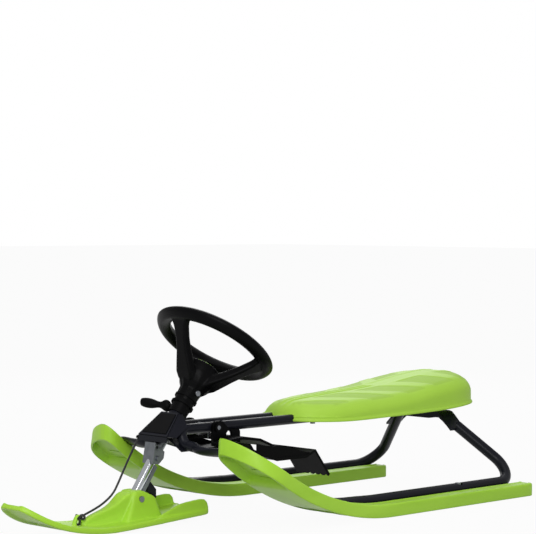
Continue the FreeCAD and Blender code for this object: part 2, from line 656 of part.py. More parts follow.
def collar():
    """Collar turned about the column, with a shelf that rests on the head tube."""
    foot = s.collar_foot_od / 2
    body = s.collar_od / 2
    ridge = s.collar_ridge_od / 2
    sleeve = s.sleeve_od / 2 + s.slack
    middle = (s.collar_top + s.collar_bottom) / 2
    shelf = s.head_tube_top + s.slack
    points = [
        (s.head_tube_od / 2 + s.slack, s.collar_bottom), (foot, s.collar_bottom), (body, middle),
        (ridge, middle), (ridge, middle + s.ridge_height), (body, middle + s.ridge_height),
        (body, s.collar_top - s.ridge_height), (ridge, s.collar_top - s.ridge_height),
        (ridge, s.collar_top), (sleeve, s.collar_top), (sleeve, shelf + s.collar_shelf),
        (s.column_od / 2 + s.slack, shelf + s.collar_shelf), (s.column_od / 2 + s.slack, shelf),
        (s.head_tube_od / 2 + s.slack, shelf),
    ]
    face = Part.Face(outline(plain([Vector(radius, 0, height) for radius, height in points])))
    shape = face.revolve(Vector(0, 0, 0), Vector(0, 0, 1), 360)
    shape.Placement = steer
    return shape


collar_shape = collar()
feature("column_collar", collar_shape)


def gussets():
    """Two small plates that stand on the seat tubes beside the head tube."""
    plates = []
    for side in (1, -1):
        low = s.seat_tube_height
        y_place = side * s.gusset_y - s.gusset_thickness / 2
        points = [Vector(s.gusset_rear_x, y_place, low), Vector(s.gusset_front_x, y_place, low),
                  Vector(s.gusset_front_x - s.gusset_thickness, y_place, s.gusset_top_z),
                  Vector(s.gusset_front_x - 3 * s.gusset_thickness, y_place, s.gusset_top_z)]
        plate = prism(plain(points), Vector(0, s.gusset_thickness, 0))
        plate = plate.cut(tube_pair + [head_solid, collar_shape, console_shape])
        plates.append(max(plate.Solids, key=lambda solid: solid.BoundBox.ZMax))
    return Part.makeCompound(plates)


feature("head_gussets", gussets())

# Steering wheel: oval rim, three broad spokes that dish down to a flared hub, sleeve over the column


def steering_wheel():
    """Wheel in the column's frame."""
    middle = s.rim_od / 2 - s.rim_width / 2
    section = ellipse(Vector(middle, 0, s.rim_height), Vector(0, 0, 1), Vector(1, 0, 0),
                      s.rim_depth / 2, s.rim_width / 2)
    wheel = Part.Face(section).revolve(Vector(0, 0, 0), Vector(0, 0, 1), 360)
    lean_from = Vector(0, 0, s.collar_top)
    wheel.rotate(lean_from, Vector(0, 1, 0), s.wheel_lean_angle)
    hub = s.hub_od / 2
    recess = s.cap_od / 2 + s.slack
    bore = s.column_od / 2 + s.running_gap
    points = [
        (bore, s.sleeve_bottom), (s.sleeve_od / 2, s.sleeve_bottom),
        (s.sleeve_od / 2, s.collar_top + s.slack),
        (s.hub_neck_od / 2, s.hub_neck_height + s.hub_bolt_od),
        (hub, s.hub_wall_height),
        (hub, s.hub_top), (recess, s.hub_top), (recess, s.hub_top - s.cap_recess),
        (0, s.hub_top - s.cap_recess), (0, s.column_top + s.slack), (bore, s.column_top + s.slack),
    ]
    face = Part.Face(outline(plain([Vector(radius, 0, height) for radius, height in points])))
    wheel = wheel.fuse(face.revolve(Vector(0, 0, 0), Vector(0, 0, 1), 360))
    root_height = s.spoke_root_height
    knee_share = 0.45
    knee = hub + (middle - hub) * knee_share
    for angle in (0, 120, 240):
        sections = []
        for reach, height, width, depth in (
            (hub - s.spoke_root_depth / 3, root_height, s.spoke_root_width, s.spoke_root_depth),
            (knee, root_height + (s.rim_height - root_height) * knee_share, s.spoke_width, s.spoke_depth),
            (middle, s.rim_height, s.spoke_end_width, s.spoke_depth),
        ):
            slope = Vector(s.rim_height - root_height, 0, hub - middle)
            sections.append(ellipse(Vector(reach, 0, height), Vector(0, 1, 0), slope, width / 2, depth / 2))
        spoke = Part.makeLoft(sections, True, False)
        spoke.rotate(Vector(0, 0, 0), Vector(0, 0, 1), angle)
        spoke.rotate(lean_from, Vector(0, 1, 0), s.wheel_lean_angle)
        cap_room = Part.makeCylinder(recess, s.rim_height, Vector(0, 0, s.hub_top - s.cap_recess))
        wheel = wheel.fuse(spoke.cut(cap_room))
    bolt_hole = Part.makeCylinder(s.hub_bolt_od / 2 + s.bolt_slack, s.hub_od,
                                  Vector(-s.hub_od / 2, 0, s.hub_bolt_height), Vector(1, 0, 0))
    wheel = wheel.cut(bolt_hole)
    for side in (1, -1):
        flat = Part.makeCylinder(s.hub_bolt_head_od / 2 + s.slack, s.hub_bolt_head_od,
                                 Vector(side * s.sleeve_od / 2, 0, s.hub_bolt_height), Vector(side, 0, 0))
        wheel = wheel.cut(flat)
    wheel = wheel.removeSplitter()
    wheel.Placement = steer
    return wheel


feature("steering_wheel", steering_wheel())


def wheel_cap():
    """Green hub cap: a turned disc with a rounded rim, in the wheel's recess."""
    body = doc.addObject("PartDesign::Body", "wheel_cap")
    pad = padded(body, "cap_disc", ("Sizes.cap_od",), "Sizes.cap_height")
    doc.recompute()
    rim = [f"Edge{number}" for number, edge in enumerate(pad.Shape.Edges, start=1)
           if edge.BoundBox.ZMin > s.cap_height / 2]
    fillet = body.newObject("PartDesign::Fillet", "cap_round_edge")
    fillet.Base = (pad, rim)
    fillet.setExpression("Radius", "Sizes.cap_round")
    body.Placement = along(steer, z=s.hub_top - s.cap_recess)
    return keep(body, "wheel_cap")


wheel_cap()

hub_bolt = bolt_master("hub_bolt_master", "Sizes.hub_bolt_od", "Sizes.sleeve_od + Sizes.nut_height",
                       "Sizes.hub_bolt_head_od", "Sizes.hub_bolt_head_height")
hub_nut = nut_master("hub_nut_master", "Sizes.hub_bolt_od")
hub_sides = [(side * s.sleeve_od / 2, 0, s.hub_bolt_height) for side in (-1, 1)]
behind_hub, ahead_of_hub = in_frame(steer, hub_sides)
hub_ahead = steer.Rotation.multVec(Vector(1, 0, 0))
group("hub_bolt", hub_bolt, [pointing(behind_hub, hub_ahead)])
group("hub_nut", hub_nut, [pointing(ahead_of_hub, hub_ahead)])

# Yoke: folded sheet, open to the rear and below, that joins the column to the leg


def yoke_corner(name):
    """One corner of the yoke's side view."""
    return Vector(getattr(s, f"yoke_{name}_x"), 0, getattr(s, f"yoke_{name}_z"))


def yoke_prism(corners, width):
    """A side view of the yoke made as wide as asked, about the middle."""
    half = Vector(0, width / 2, 0)
    return prism([(point - half, radius) for point, radius in corners], half * 2)


front_top = yoke_corner("front_top")
front_low = yoke_corner("front_low")
rear_top = yoke_corner("rear_top")
yoke_block = yoke_prism([(front_top, 0), (front_low, 0), (yoke_corner("rear_low"), s.yoke_round),
                         (yoke_corner("ear"), s.yoke_round), (rear_top, 0)], s.yoke_width)


def yoke():
    """Yoke with its cross holes."""
    top_run = unit(rear_top - front_top)
    front_run = unit(front_low - front_top)
    shift = s.yoke_sheet / math.sin(top_run.getAngle(front_run))
    inner_top = front_top + (top_run + front_run) * shift
    far_rear = inner_top + top_run * s.yoke_width * 2
    far_low = inner_top + front_run * s.yoke_width * 2
    room = yoke_prism(plain([inner_top, far_low, far_low + top_run * s.yoke_width * 2, far_rear]),
                      s.yoke_width - 2 * s.yoke_sheet)
    hole = Part.makeCylinder(s.yoke_hole_od / 2, 2 * s.yoke_width,
                             Vector(s.yoke_hole_x, -s.yoke_width, s.yoke_hole_z), Vector(0, 1, 0))
    drill = Part.makeCylinder(s.yoke_bolt_od / 2 + s.bolt_slack, 2 * s.yoke_width,
                              Vector(0, -s.yoke_width, s.yoke_bolt_height), Vector(0, 1, 0))
    drill.Placement = leg_place
    return yoke_block.cut([room, hole, drill])


yoke_shape = yoke()
feature("steering_yoke", yoke_shape)

column_ring = turned_body("column_ring", [(("Sizes.column_od", "Sizes.column_bore"),
                                           "Sizes.column_length", False)],
                          along(steer, z=s.column_top - s.column_length))
doc.recompute()
column = column_ring.Shape.cut(yoke_block)
column = max(column.Solids, key=lambda solid: solid.CenterOfMass.z)
hub_drill = Part.makeCylinder(s.hub_bolt_od / 2 + s.bolt_slack, s.hub_od,
                              Vector(-s.hub_od / 2, 0, s.hub_bolt_height), Vector(1, 0, 0))
hub_drill.Placement = steer
feature("steering_column", column.cut(hub_drill))

# Leg tube, the folded channel behind it, the stay and the bolts that hold them


def drilled_leg(shape, heights, hole):
    """A shape of the leg's frame with cross holes at some heights."""
    for height in heights:
        shape = shape.cut(Part.makeCylinder(hole / 2 + s.bolt_slack, 2 * s.yoke_width,
                                            Vector(0, -s.yoke_width, height), Vector(0, 1, 0)))
    return shape


yoke_heights = (s.yoke_bolt_height,)
tower_heights = (s.tower_bolt_rise - leg_length,)
leg_top = 0
leg = Part.makeCylinder(s.leg_od / 2, leg_length, Vector(0, 0, leg_top - leg_length))
leg = leg.cut(Part.makeCylinder(s.leg_bore / 2, leg_length, Vector(0, 0, leg_top - leg_length)))
leg = drilled_leg(drilled_leg(leg, yoke_heights, s.yoke_bolt_od), tower_heights, s.tower_bolt_od)
leg.Placement = leg_place
leg = leg.cut(yoke_shape)
feature("leg_tube", max(leg.Solids, key=lambda solid: solid.Volume))

channel_top = s.channel_plate_top
channel_bottom = s.channel_plate_rise - leg_length
half_channel = s.channel_plate_width / 2
channel_shape = box_between(Vector(-s.channel_back, -half_channel, channel_bottom),
                            Vector(-s.channel_back + s.channel_plate, half_channel, channel_top))
for side in (1, -1):
    edge = side * half_channel
    inner_edge = edge - side * s.channel_plate
    channel_shape = channel_shape.fuse(box_between(
        Vector(-s.channel_back, min(edge, inner_edge), channel_bottom),
        Vector(-s.channel_back + s.channel_plate_flange, max(edge, inner_edge), channel_top)))
leg_envelope = Part.makeCylinder(s.leg_od / 2 + s.bolt_slack, leg_length,
                                 Vector(0, 0, leg_top - leg_length))
channel_shape = channel_shape.cut(leg_envelope).removeSplitter()
channel_shape.Placement = leg_place
channel_shape = channel_shape.cut(yoke_block)
feature("leg_channel", channel_shape)

yoke_bolt = bolt_master("yoke_bolt_master", "Sizes.yoke_bolt_od", "Sizes.yoke_width + Sizes.nut_height",
                        "Sizes.yoke_bolt_head_od", "Sizes.yoke_bolt_head_height")
yoke_nut = nut_master("yoke_nut_master", "Sizes.yoke_bolt_od")
yoke_left = in_frame(leg_place, [(0, s.yoke_width / 2, height) for height in yoke_heights])
yoke_right = in_frame(leg_place, [(0, -s.yoke_width / 2, height) for height in yoke_heights])
group("yoke_bolt", yoke_bolt, [pointing(point, Vector(0, -1, 0)) for point in yoke_left])
group("yoke_nut", yoke_nut, [pointing(point, Vector(0, -1, 0)) for point in yoke_right])

# Front ski: turned-up blade with a tower for the leg, two fins at the rear and a loop for the cord

fski_profile = (s.fski_rear_x - s.overrun, s.fski_bend_x, s.fski_bend_radius, s.fski_tip_angle,
                s.fski_tip_run)


def tower():
    """Tower of the front ski: concave in front, sloped behind, with sockets from above."""
    levels = (
        (s.fski_thickness / 2, s.tower_foot_rear_x, s.tower_foot_front_x, s.tower_foot_width),
        (s.tower_waist, s.tower_waist_rear_x, s.tower_waist_front_x, s.tower_waist_width),
        (s.tower_top, s.tower_top_rear_x, s.tower_top_front_x, s.tower_top_width),
    )
    sections = []
    for height, rear_x, front_x, width in levels:
        sections.append(outline([(Vector(x, y, height), s.tower_round) for x, y in (
            (rear_x, -width / 2), (front_x, -width / 2), (front_x, width / 2), (rear_x, width / 2))]))
    shape = Part.makeLoft(sections, True, True)
    above = s.tower_top + s.overrun
    wedge = prism(plain([
        Vector(s.tower_foot_rear_x - s.overrun, -s.tower_foot_width, s.tower_rear_cut_low_z),
        Vector(s.tower_rear_cut_low_x, -s.tower_foot_width, s.tower_rear_cut_low_z),
        Vector(s.tower_rear_cut_x, -s.tower_foot_width, s.tower_top),
        Vector(s.tower_rear_cut_x, -s.tower_foot_width, above),
        Vector(s.tower_foot_rear_x - s.overrun, -s.tower_foot_width, above),
    ]), Vector(0, 2 * s.tower_foot_width, 0))
    half_hole = s.tower_hole_width / 2
    hole_low = s.tower_top - s.tower_hole_depth
    hole = prism([(Vector(x, y, hole_low), half_hole * (1 - s.slack / s.tower_hole_width))
                  for x, y in ((s.tower_hole_rear_x - half_hole / 2, -half_hole),
                               (s.tower_hole_front_x, -half_hole),
                               (s.tower_hole_front_x, half_hole),
                               (s.tower_hole_rear_x - half_hole / 2, half_hole))],
                 Vector(0, 0, s.tower_top))
    return shape.cut(wedge), hole


def pitched(shape):
    """A shape of the front ski, tilted nose down about the line where its sole touches the ground."""
    shape.rotate(Vector(s.fski_pitch_x, 0, 0), Vector(0, 1, 0), s.fski_pitch_angle)
    return shape


def front_ski():
    """Front ski with tower, fins and loop fused into one moulding."""
    width = s.fski_width / 2
    plan = prism([
        (Vector(s.fski_rear_x, -s.fski_rear_width / 2, -far), s.fski_rear_round),
        (Vector(s.tower_top_front_x, -width, -far), s.fski_width),
        (Vector(s.fski_shoulder_x, -width, -far), s.fski_width),
        (Vector(s.fski_tip_x, -s.fski_tip_width / 2, -far), s.fski_tip_round),
        (Vector(s.fski_tip_x, s.fski_tip_width / 2, -far), s.fski_tip_round),
        (Vector(s.fski_shoulder_x, width, -far), s.fski_width),
        (Vector(s.tower_top_front_x, width, -far), s.fski_width),
        (Vector(s.fski_rear_x, s.fski_rear_width / 2, -far), s.fski_rear_round),
    ], Vector(0, 0, 2 * far))
    ski = runner_slab(fski_profile, 0, s.fski_thickness, -width, width).common(plan)
    tower_solid, hole = tower()
    ski = ski.fuse(tower_solid)
    fin_low = s.fski_thickness / 2
    for side in (1, -1):
        y_place = side * s.fin_spread / 2 - s.fin_thickness / 2
        fin = prism([
            (Vector(s.fin_rear_x, y_place, fin_low), 0),
            (Vector(s.fin_front_x, y_place, fin_low), 0),
            (Vector(s.fin_top_x + s.fin_round, y_place, s.fin_top), s.fin_round),
            (Vector(s.fin_rear_x, y_place, s.fin_top), s.fin_round),
        ], Vector(0, s.fin_thickness, 0))
        ski = ski.fuse(fin)
    post = s.loop_od / 2
    loop = prism([
        (Vector(s.loop_x - post, -s.loop_thickness / 2, fin_low), 0),
        (Vector(s.loop_x + post, -s.loop_thickness / 2, fin_low), 0),
        (Vector(s.loop_x + post, -s.loop_thickness / 2, s.fski_thickness + s.loop_rise), post - s.slack),
        (Vector(s.loop_x - post, -s.loop_thickness / 2, s.fski_thickness + s.loop_rise), post - s.slack),
    ], Vector(0, s.loop_thickness, 0))
    ski = ski.fuse(loop).cut(hole)
    socket = Part.makeCylinder(s.leg_od / 2 + s.bolt_slack, leg_length + s.slack,
                               Vector(0, 0, leg_top - leg_length - s.slack))
    slot = box_between(Vector(-s.channel_back - s.slack, -half_channel - s.slack, channel_bottom - s.slack),
                       Vector(0, half_channel + s.slack, channel_top))
    sockets = socket.fuse(slot)
    for height in tower_heights:
        sockets = sockets.fuse(Part.makeCylinder(
            s.tower_bolt_od / 2 + s.bolt_slack, 2 * s.tower_foot_width,
            Vector(0, -s.tower_foot_width, height), Vector(0, 1, 0)))
        for side in (1, -1):
            sockets = sockets.fuse(Part.makeCylinder(
                s.tower_bolt_head_od / 2 + s.slack, s.tower_foot_width,
                Vector(0, side * tower_bolt_seat, height), Vector(0, side, 0)))
    sockets.Placement = leg_place
    width_out = width - s.fski_groove_margin
    for side in (1, -1):
        y_out = side * width_out
        y_in = side * (width_out - s.fski_groove_width)
        groove = runner_slab(fski_profile, -s.overrun, s.fski_groove_depth,
                             min(y_in, y_out), max(y_in, y_out))
        behind_tip = box_between(Vector(s.fski_rear_x + s.fski_groove_margin, -far, -far),
                                 Vector(s.fski_shoulder_x, far, far))
        ski = ski.cut(groove.common(behind_tip))
    return pitched(ski).cut(sockets).removeSplitter()


tower_bolt_seat = s.tower_bolt_length / 2 - s.nut_height - s.tower_bolt_head_height
ski_shape = front_ski()
feature("front_ski", ski_shape)


def leg_stay():
    """Dark bracket between the back of the channel and the rear slope of the tower."""
    half = Vector(0, s.stay_width / 2, 0)
    points = [Vector(s.stay_top_x, 0, s.stay_top_z), Vector(s.stay_rear_x, 0, s.stay_mid_z),
              Vector(s.stay_rear_x, 0, s.stay_foot_z), Vector(s.stay_foot_x, 0, s.stay_foot_z)]
    shape = prism(plain([point - half for point in points]), half * 2)
    envelope = box_between(Vector(-s.channel_back - s.slack, -half_channel, channel_bottom),
                           Vector(s.leg_od, half_channel, channel_top))
    envelope.Placement = leg_place
    shape = shape.cut([envelope, ski_shape])
    return max(shape.Solids, key=lambda solid: solid.Volume)


feature("leg_stay", leg_stay())

tower_bolt = bolt_master("tower_bolt_master", "Sizes.tower_bolt_od",
                         "Sizes.tower_bolt_length - Sizes.nut_height - 2 * Sizes.tower_bolt_head_height",
                         "Sizes.tower_bolt_head_od", "Sizes.tower_bolt_head_height")
tower_nut = nut_master("tower_nut_master", "Sizes.tower_bolt_od")
tower_left = in_frame(leg_place, [(0, tower_bolt_seat, height) for height in tower_heights])
tower_right = in_frame(leg_place, [(0, -tower_bolt_seat, height) for height in tower_heights])
group("tower_bolt", tower_bolt, [pointing(point, Vector(0, -1, 0)) for point in tower_left])
group("tower_nut", tower_nut, [pointing(point, Vector(0, -1, 0)) for point in tower_right])

# Rail bolts with washers and nuts under the channel floor

rail_bolt = bolt_master("rail_bolt_master", "Sizes.rail_bolt_od",
                        "Sizes.rail_od - Sizes.dimple_depth + Sizes.slack + Sizes.ski_wall"
                        " + Sizes.washer_thickness + Sizes.nut_height",
                        "Sizes.rail_head_od", "Sizes.rail_head_height")
rail_nut = nut_master("rail_nut_master", "Sizes.rail_bolt_od")
washer = turned_body("washer_master", [(("Sizes.washer_od", "Sizes.rail_bolt_od + Sizes.bolt_slack"),
                                        "Sizes.washer_thickness", False)], Placement())
down = Vector(0, 0, -1)
bolt_seat_z = rail_height + rail_radius - s.dimple_depth
floor_under_z = s.channel_floor - s.ski_wall
sides = (ski_y, -ski_y)
group("rail_bolts", rail_bolt, [pointing(Vector(s.rail_bolt_x, y, bolt_seat_z), down) for y in sides])
group("rail_washers", washer, [pointing(Vector(s.rail_bolt_x, y, floor_under_z), down) for y in sides])
group("rail_nuts", rail_nut,
      [pointing(Vector(s.rail_bolt_x, y, floor_under_z - s.washer_thickness), down) for y in sides])

# Seat: moulded shell lofted through cross sections, hollow from below, with two ribs that sit on the tubes

# place along the length, half width and crown height, as shares of length, width and of front to rear top
SEAT_SHARES = (
    (0.006, 0.30, -0.42), (0.03, 0.56, -0.10), (0.075, 0.70, 0.06), (0.15, 0.84, 0.17), (0.30, 0.93, 0.36),
    (0.50, 0.985, 0.53), (0.68, 1.0, 0.85), (0.80, 0.995, 0.98), (0.89, 0.92, 1.0), (0.94, 0.79, 0.92),
    (0.972, 0.60, 0.68), (0.992, 0.36, 0.30),
)


def seat_form(inset):
    """The seat's outer form, or the same form set in by a wall."""
    rise = s.seat_rear_top_z - s.seat_front_top_z
    sections = []
    low = s.seat_rim_z - (s.overrun if inset else 0)
    for place, width_share, rise_share in SEAT_SHARES:
        x_place = s.seat_front_x - s.seat_length * place
        middle_x = s.seat_front_x - s.seat_length / 2
        x_place = middle_x + (x_place - middle_x) * (1 - 2 * inset / s.seat_length)
        half = s.seat_width / 2 * width_share - inset
        top = s.seat_front_top_z + rise * rise_share - inset
        corner = min(s.seat_corner, (top - s.seat_rim_z) / 2, half / 2)
        sections.append(outline([
            (Vector(x_place, -half, low), 0),
            (Vector(x_place, half, low), 0),
            (Vector(x_place, half - s.seat_draft / 2, top - corner / 2), corner),
            (Vector(x_place, 0, top + corner / 12), half),
            (Vector(x_place, -half + s.seat_draft / 2, top - corner / 2), corner),
        ]))
    return Part.makeLoft(sections, True, False)


def seat_shell():
    """Seat with its ribs, front notches and screw holes."""
    inner = seat_form(s.seat_wall)
    shell = seat_form(0).cut(inner)
    seat_half = s.seat_width / 2
    for x_place in (s.front_rib_x, s.rear_rib_x):
        rib = box_between(Vector(x_place - s.rib_thickness / 2, -seat_half, s.seat_tube_height),
                          Vector(x_place + s.rib_thickness / 2, seat_half, s.seat_rear_top_z))
        shell = shell.fuse(rib.common(inner))
    for side in (1, -1):
        room = Part.makeCylinder(tube_radius + s.slack, 2 * s.seat_length,
                                 Vector(s.seat_front_x - s.seat_length + s.seat_wall * 4,
                                        side * tube_y, s.seat_tube_height), Vector(1, 0, 0))
        shell = shell.cut(room)
        below = box_between(Vector(s.seat_front_x - s.seat_length / 4, side * tube_y - tube_radius - s.slack,
                                   s.seat_rim_z - s.overrun),
                            Vector(s.seat_front_x + s.overrun, side * tube_y + tube_radius + s.slack,
                                   s.seat_tube_height))
        shell = shell.cut(below)
        for x_place in (s.front_rib_x, s.rear_rib_x):
            shell = shell.cut(Part.makeCylinder(
                s.seat_screw_od / 2 + s.bolt_slack, s.seat_screw_reach + s.slack,
                Vector(x_place, side * tube_y, s.seat_tube_height + tube_radius)))
    return max(shell.removeSplitter().Solids, key=lambda solid: solid.Volume)


feature("seat_shell", seat_shell())

seat_screw = bolt_master("seat_screw_master", "Sizes.seat_screw_od",
                         "Sizes.tube_od + Sizes.seat_screw_reach",
                         "Sizes.seat_screw_head_od", "Sizes.seat_screw_head_height")
group("seat_screws", seat_screw,
      [pointing(Vector(x_place, side * tube_y, s.seat_tube_height - tube_radius), Vector(0, 0, 1))
       for x_place in (s.front_rib_x, s.rear_rib_x) for side in (1, -1)])

# Brake: one folded plate with two footplates, toothed claws and two ears on the rod


brake_front = Vector(s.brake_front_x + s.overrun, 0, s.brake_front_z)
brake_rear = [Vector(s.brake_fold_x, 0, s.brake_fold_z), Vector(s.brake_claw_x, 0, s.brake_claw_z)]
# the brake's side view at its middle web, and at the two sunk footplates
WEB_LINE = [brake_front, Vector(s.brake_plate_x, 0, s.brake_plate_z),
            Vector(s.brake_web_x, 0, s.brake_web_z),
            Vector(s.brake_cross_rear_x, 0, s.brake_cross_rear_z)] + brake_rear
PAN_LINE = [brake_front, Vector(s.pan_front_x, 0, s.pan_front_z), Vector(s.pan_slope_x, 0, s.pan_slope_z),
            Vector(s.pan_x, 0, s.pan_z), Vector(s.pan_rear_x, 0, s.pan_z)] + brake_rear


def under_line(upper):
    """The underside of a sheet whose top follows a line in side view."""
    lower = []
    for index, point in enumerate(upper):
        before = upper[max(index - 1, 0)]
        after = upper[min(index + 1, len(upper) - 1)]
        normal = unit((after - before).cross(Vector(0, 1, 0)))
        lower.append(point - normal * s.brake_sheet)
    return lower


def brake_strip(upper, lower, from_y, to_y):
    """A side view as a thick strip across part of the sled."""
    strip = prism(plain(upper + lower[::-1]), Vector(0, to_y - from_y, 0))
    strip.translate(Vector(0, from_y, 0))
    return strip


def brake_sheet():
    """Middle web, the two footplates and the steps between them."""
    web_y = s.brake_web_y
    sheet = brake_strip(WEB_LINE, under_line(WEB_LINE), -web_y, web_y)
    for low_y, high_y in ((web_y, s.brake_half_width), (-s.brake_half_width, -web_y)):
        sheet = sheet.fuse(brake_strip(PAN_LINE, under_line(PAN_LINE), low_y, high_y))
    for low_y in (web_y - s.brake_sheet, -web_y):
        sheet = sheet.fuse(brake_strip(WEB_LINE, under_line(PAN_LINE), low_y, low_y + s.brake_sheet))
    return sheet


def brake_plan(side):
    """One half of the brake seen from above."""
    def at(x_place, y_place):
        return Vector(x_place, side * y_place, -far)

    return prism([
        (at(s.brake_cross_front_x, 0), 0),
        (at(s.brake_cross_front_x, s.brake_lobe_in), 0),
        (at(s.brake_front_x, s.brake_lobe_in), s.brake_round),
        (at(s.brake_outer_front_x, s.brake_half_width), s.brake_round),
        (at(s.brake_claw_x - s.tooth_depth, s.brake_half_width), 0),
        (at(s.brake_claw_x - s.tooth_depth, s.brake_lobe_rear_in), 0),
        (at(s.brake_fold_x, s.brake_lobe_rear_in), 0),
        (at(s.brake_cross_rear_x, s.brake_lobe_in), 0),
        (at(s.brake_cross_rear_x, 0), 0),
    ], Vector(0, 0, 2 * far))


def brake_pedal():
    """Brake with ears and teeth."""
    sheet = brake_sheet()
    pedal = sheet.common(brake_plan(1)).fuse(sheet.common(brake_plan(-1)))
    ear_inner = tube_y + tube_radius + s.ear_gap
    for side in (1, -1):
        notch = Part.makeCylinder(s.brake_notch, 2 * far,
                                  Vector(s.brake_notch_x, side * s.brake_notch_y, -far))
        pedal = pedal.cut(notch)
        y_place = side * ear_inner if side > 0 else side * (ear_inner + s.ear_thickness)
        half_ear = s.ear_od / 2
        foot_z = s.brake_plate_z - s.brake_sheet
        ear = prism([
            (Vector(s.brake_x + half_ear, y_place, s.seat_tube_height + half_ear), half_ear - s.slack),
            (Vector(s.brake_x - half_ear, y_place, s.seat_tube_height + half_ear), half_ear - s.slack),
            (Vector(s.ear_shoulder_x, y_place, s.ear_shoulder_z), half_ear / 2),
            (Vector(s.ear_rear_x, y_place, s.ear_shoulder_z), half_ear / 2),
            (Vector(s.ear_rear_x, y_place, foot_z - s.brake_sheet), 0),
            (Vector(s.brake_x + half_ear, y_place, foot_z), half_ear / 2),
        ], Vector(0, s.ear_thickness, 0))
        under = prism(plain([
            Vector(s.ear_rear_x - s.overrun, y_place, foot_z - far),
            Vector(s.brake_x + s.ear_od, y_place, foot_z - far),
            Vector(s.brake_x + s.ear_od, y_place, foot_z),
            Vector(s.brake_plate_x, y_place, foot_z),
            Vector(s.ear_rear_x - s.overrun, y_place, foot_z - s.brake_sheet),
        ]), Vector(0, s.ear_thickness, 0))
        window = Part.makeCylinder(s.ear_hole_od / 2, 2 * s.ear_thickness,
                                   Vector(s.ear_hole_x, y_place - s.ear_thickness / 2, s.ear_hole_z),
                                   Vector(0, 1, 0))
        ear = ear.cut([under, window])
        pedal = pedal.fuse(ear)
    pedal = pedal.cut(Part.makeCylinder(s.rod_od / 2 + s.running_gap, s.rod_length,
                                        Vector(s.brake_x, -s.rod_length / 2, s.seat_tube_height),
                                        Vector(0, 1, 0)))
    step = (s.brake_half_width - s.brake_lobe_rear_in) / s.tooth_count
    for side in (1, -1):
        for number in range(int(s.tooth_count)):
            y_low = s.brake_lobe_rear_in + number * step
            tooth_gap = prism(plain([
                Vector(-far, side * (y_low + step / 2), s.brake_claw_z + s.tooth_depth),
                Vector(-far, side * y_low, s.brake_claw_z - s.brake_sheet),
                Vector(-far, side * (y_low + step), s.brake_claw_z - s.brake_sheet),
            ]), Vector(far, 0, 0))
            pedal = pedal.cut(tooth_gap)
    return pedal.removeSplitter()


pedal_shape = brake_pedal()
feature("brake_pedal", pedal_shape)


def brake_studs():
    """Bright grip studs on the footplates, in rows of three, three and one."""
    stud = bolt_master("stud_master", "Sizes.stud_od", "Sizes.stud_height", "Sizes.stud_od",
                       "Sizes.brake_sheet / 2")
    places = []
    for row, count in enumerate((3, 3, 1)):
        for number in range(count):
            x_place = s.stud_x - s.stud_step * number + row * s.stud_step / 3
            y_place = s.stud_y - row * s.stud_row_step
            for side in (1, -1):
                places.append(pointing(Vector(x_place, side * y_place, s.pan_z), Vector(0, 0, 1)))
    return stud, places


stud_master, stud_places = brake_studs()
studs = group("brake_studs", stud_master, stud_places)
pieces[[piece.Label for piece in pieces].index("brake_pedal")].Shape = pedal_shape.cut(studs.Shape.Solids)

rod = doc.addObject("Part::Cylinder", "brake_rod")
rod.setExpression("Radius", "Sizes.rod_od / 2")
rod.setExpression("Height", "Sizes.rod_length")
rod.Placement = pointing(Vector(s.brake_x, -s.rod_length / 2, s.seat_tube_height), Vector(0, 1, 0))
keep(rod, "brake_rod")

cap_ring = turned_body("rod_cap_master", [(("Sizes.rod_cap_od", "Sizes.rod_od + Sizes.bolt_slack"),
                                           "Sizes.rod_cap_thickness", False)], Placement())
group("rod_caps", cap_ring,
      [pointing(Vector(s.brake_x, side * (s.rod_length / 2 - s.rod_cap_thickness), s.seat_tube_height),
                Vector(0, side, 0)) for side in (1, -1)])

# Brake spring: torsion spring round the rod, wound as quarter turns of two tangent arcs each


def spring_path():
    """Helix about the rod between the seat tubes, with one straight arm at each end."""
    radius = (s.spring_od - s.spring_wire) / 2
    pitch = s.spring_wire + s.spring_gap
    turns = int(s.spring_turn_count)
    start_y = -pitch * turns / 2
    quarters = 4 * turns + 2

    def at(number):
        angle = number * math.pi / 2
        return Vector(s.brake_x + radius * math.cos(angle), start_y + pitch * number / 4,
                      s.seat_tube_height + radius * math.sin(angle))

    def heading(number):
        angle = number * math.pi / 2
        return unit(Vector(-radius * math.sin(angle), pitch / (2 * math.pi), radius * math.cos(angle)))

    edges = [Part.LineSegment(at(0) - heading(0) * s.spring_arm / 2, at(0)).toShape()]
    for number in range(quarters):
        start, end = at(number), at(number + 1)
        leave, arrive = heading(number), heading(number + 1)
        span = end - start
        both = leave + arrive
        spare = 4 - both.dot(both)
        reach = (-span.dot(both) + math.sqrt(span.dot(both) ** 2 + spare * span.dot(span))) / spare
        first_corner = start + leave * reach
        second_corner = end - arrive * reach
        join = (first_corner + second_corner) / 2
        edges.append(corner_arc(start, first_corner, join))
        edges.append(corner_arc(join, second_corner, end))
    last = at(quarters)
    edges.append(Part.LineSegment(last, last + heading(quarters) * s.spring_arm).toShape())
    print("brake spring: gap between turns", pitch - s.spring_wire)
    return Part.Wire(edges)


feature("brake_spring", round_bar(spring_path(), s.spring_wire / 2))

# Tow handle: tapered grip with a finger lobe, pulled off a peg on the collar

handle_near = Vector(s.handle_x, s.handle_y, s.handle_z)
handle_far = Vector(s.handle_far_x, s.handle_far_y, s.handle_far_z)
handle_axis = unit(handle_far - handle_near)

# place along the grip, width and height, as shares of its length and diameter
HANDLE_SHARES = (
    (0.0, 0.62, 0.70), (0.07, 0.80, 1.05), (0.18, 0.80, 1.05), (0.30, 0.62, 0.66), (0.55, 0.78, 0.80),
    (0.82, 0.86, 0.92), (0.95, 0.74, 0.78), (1.0, 0.46, 0.48),
)


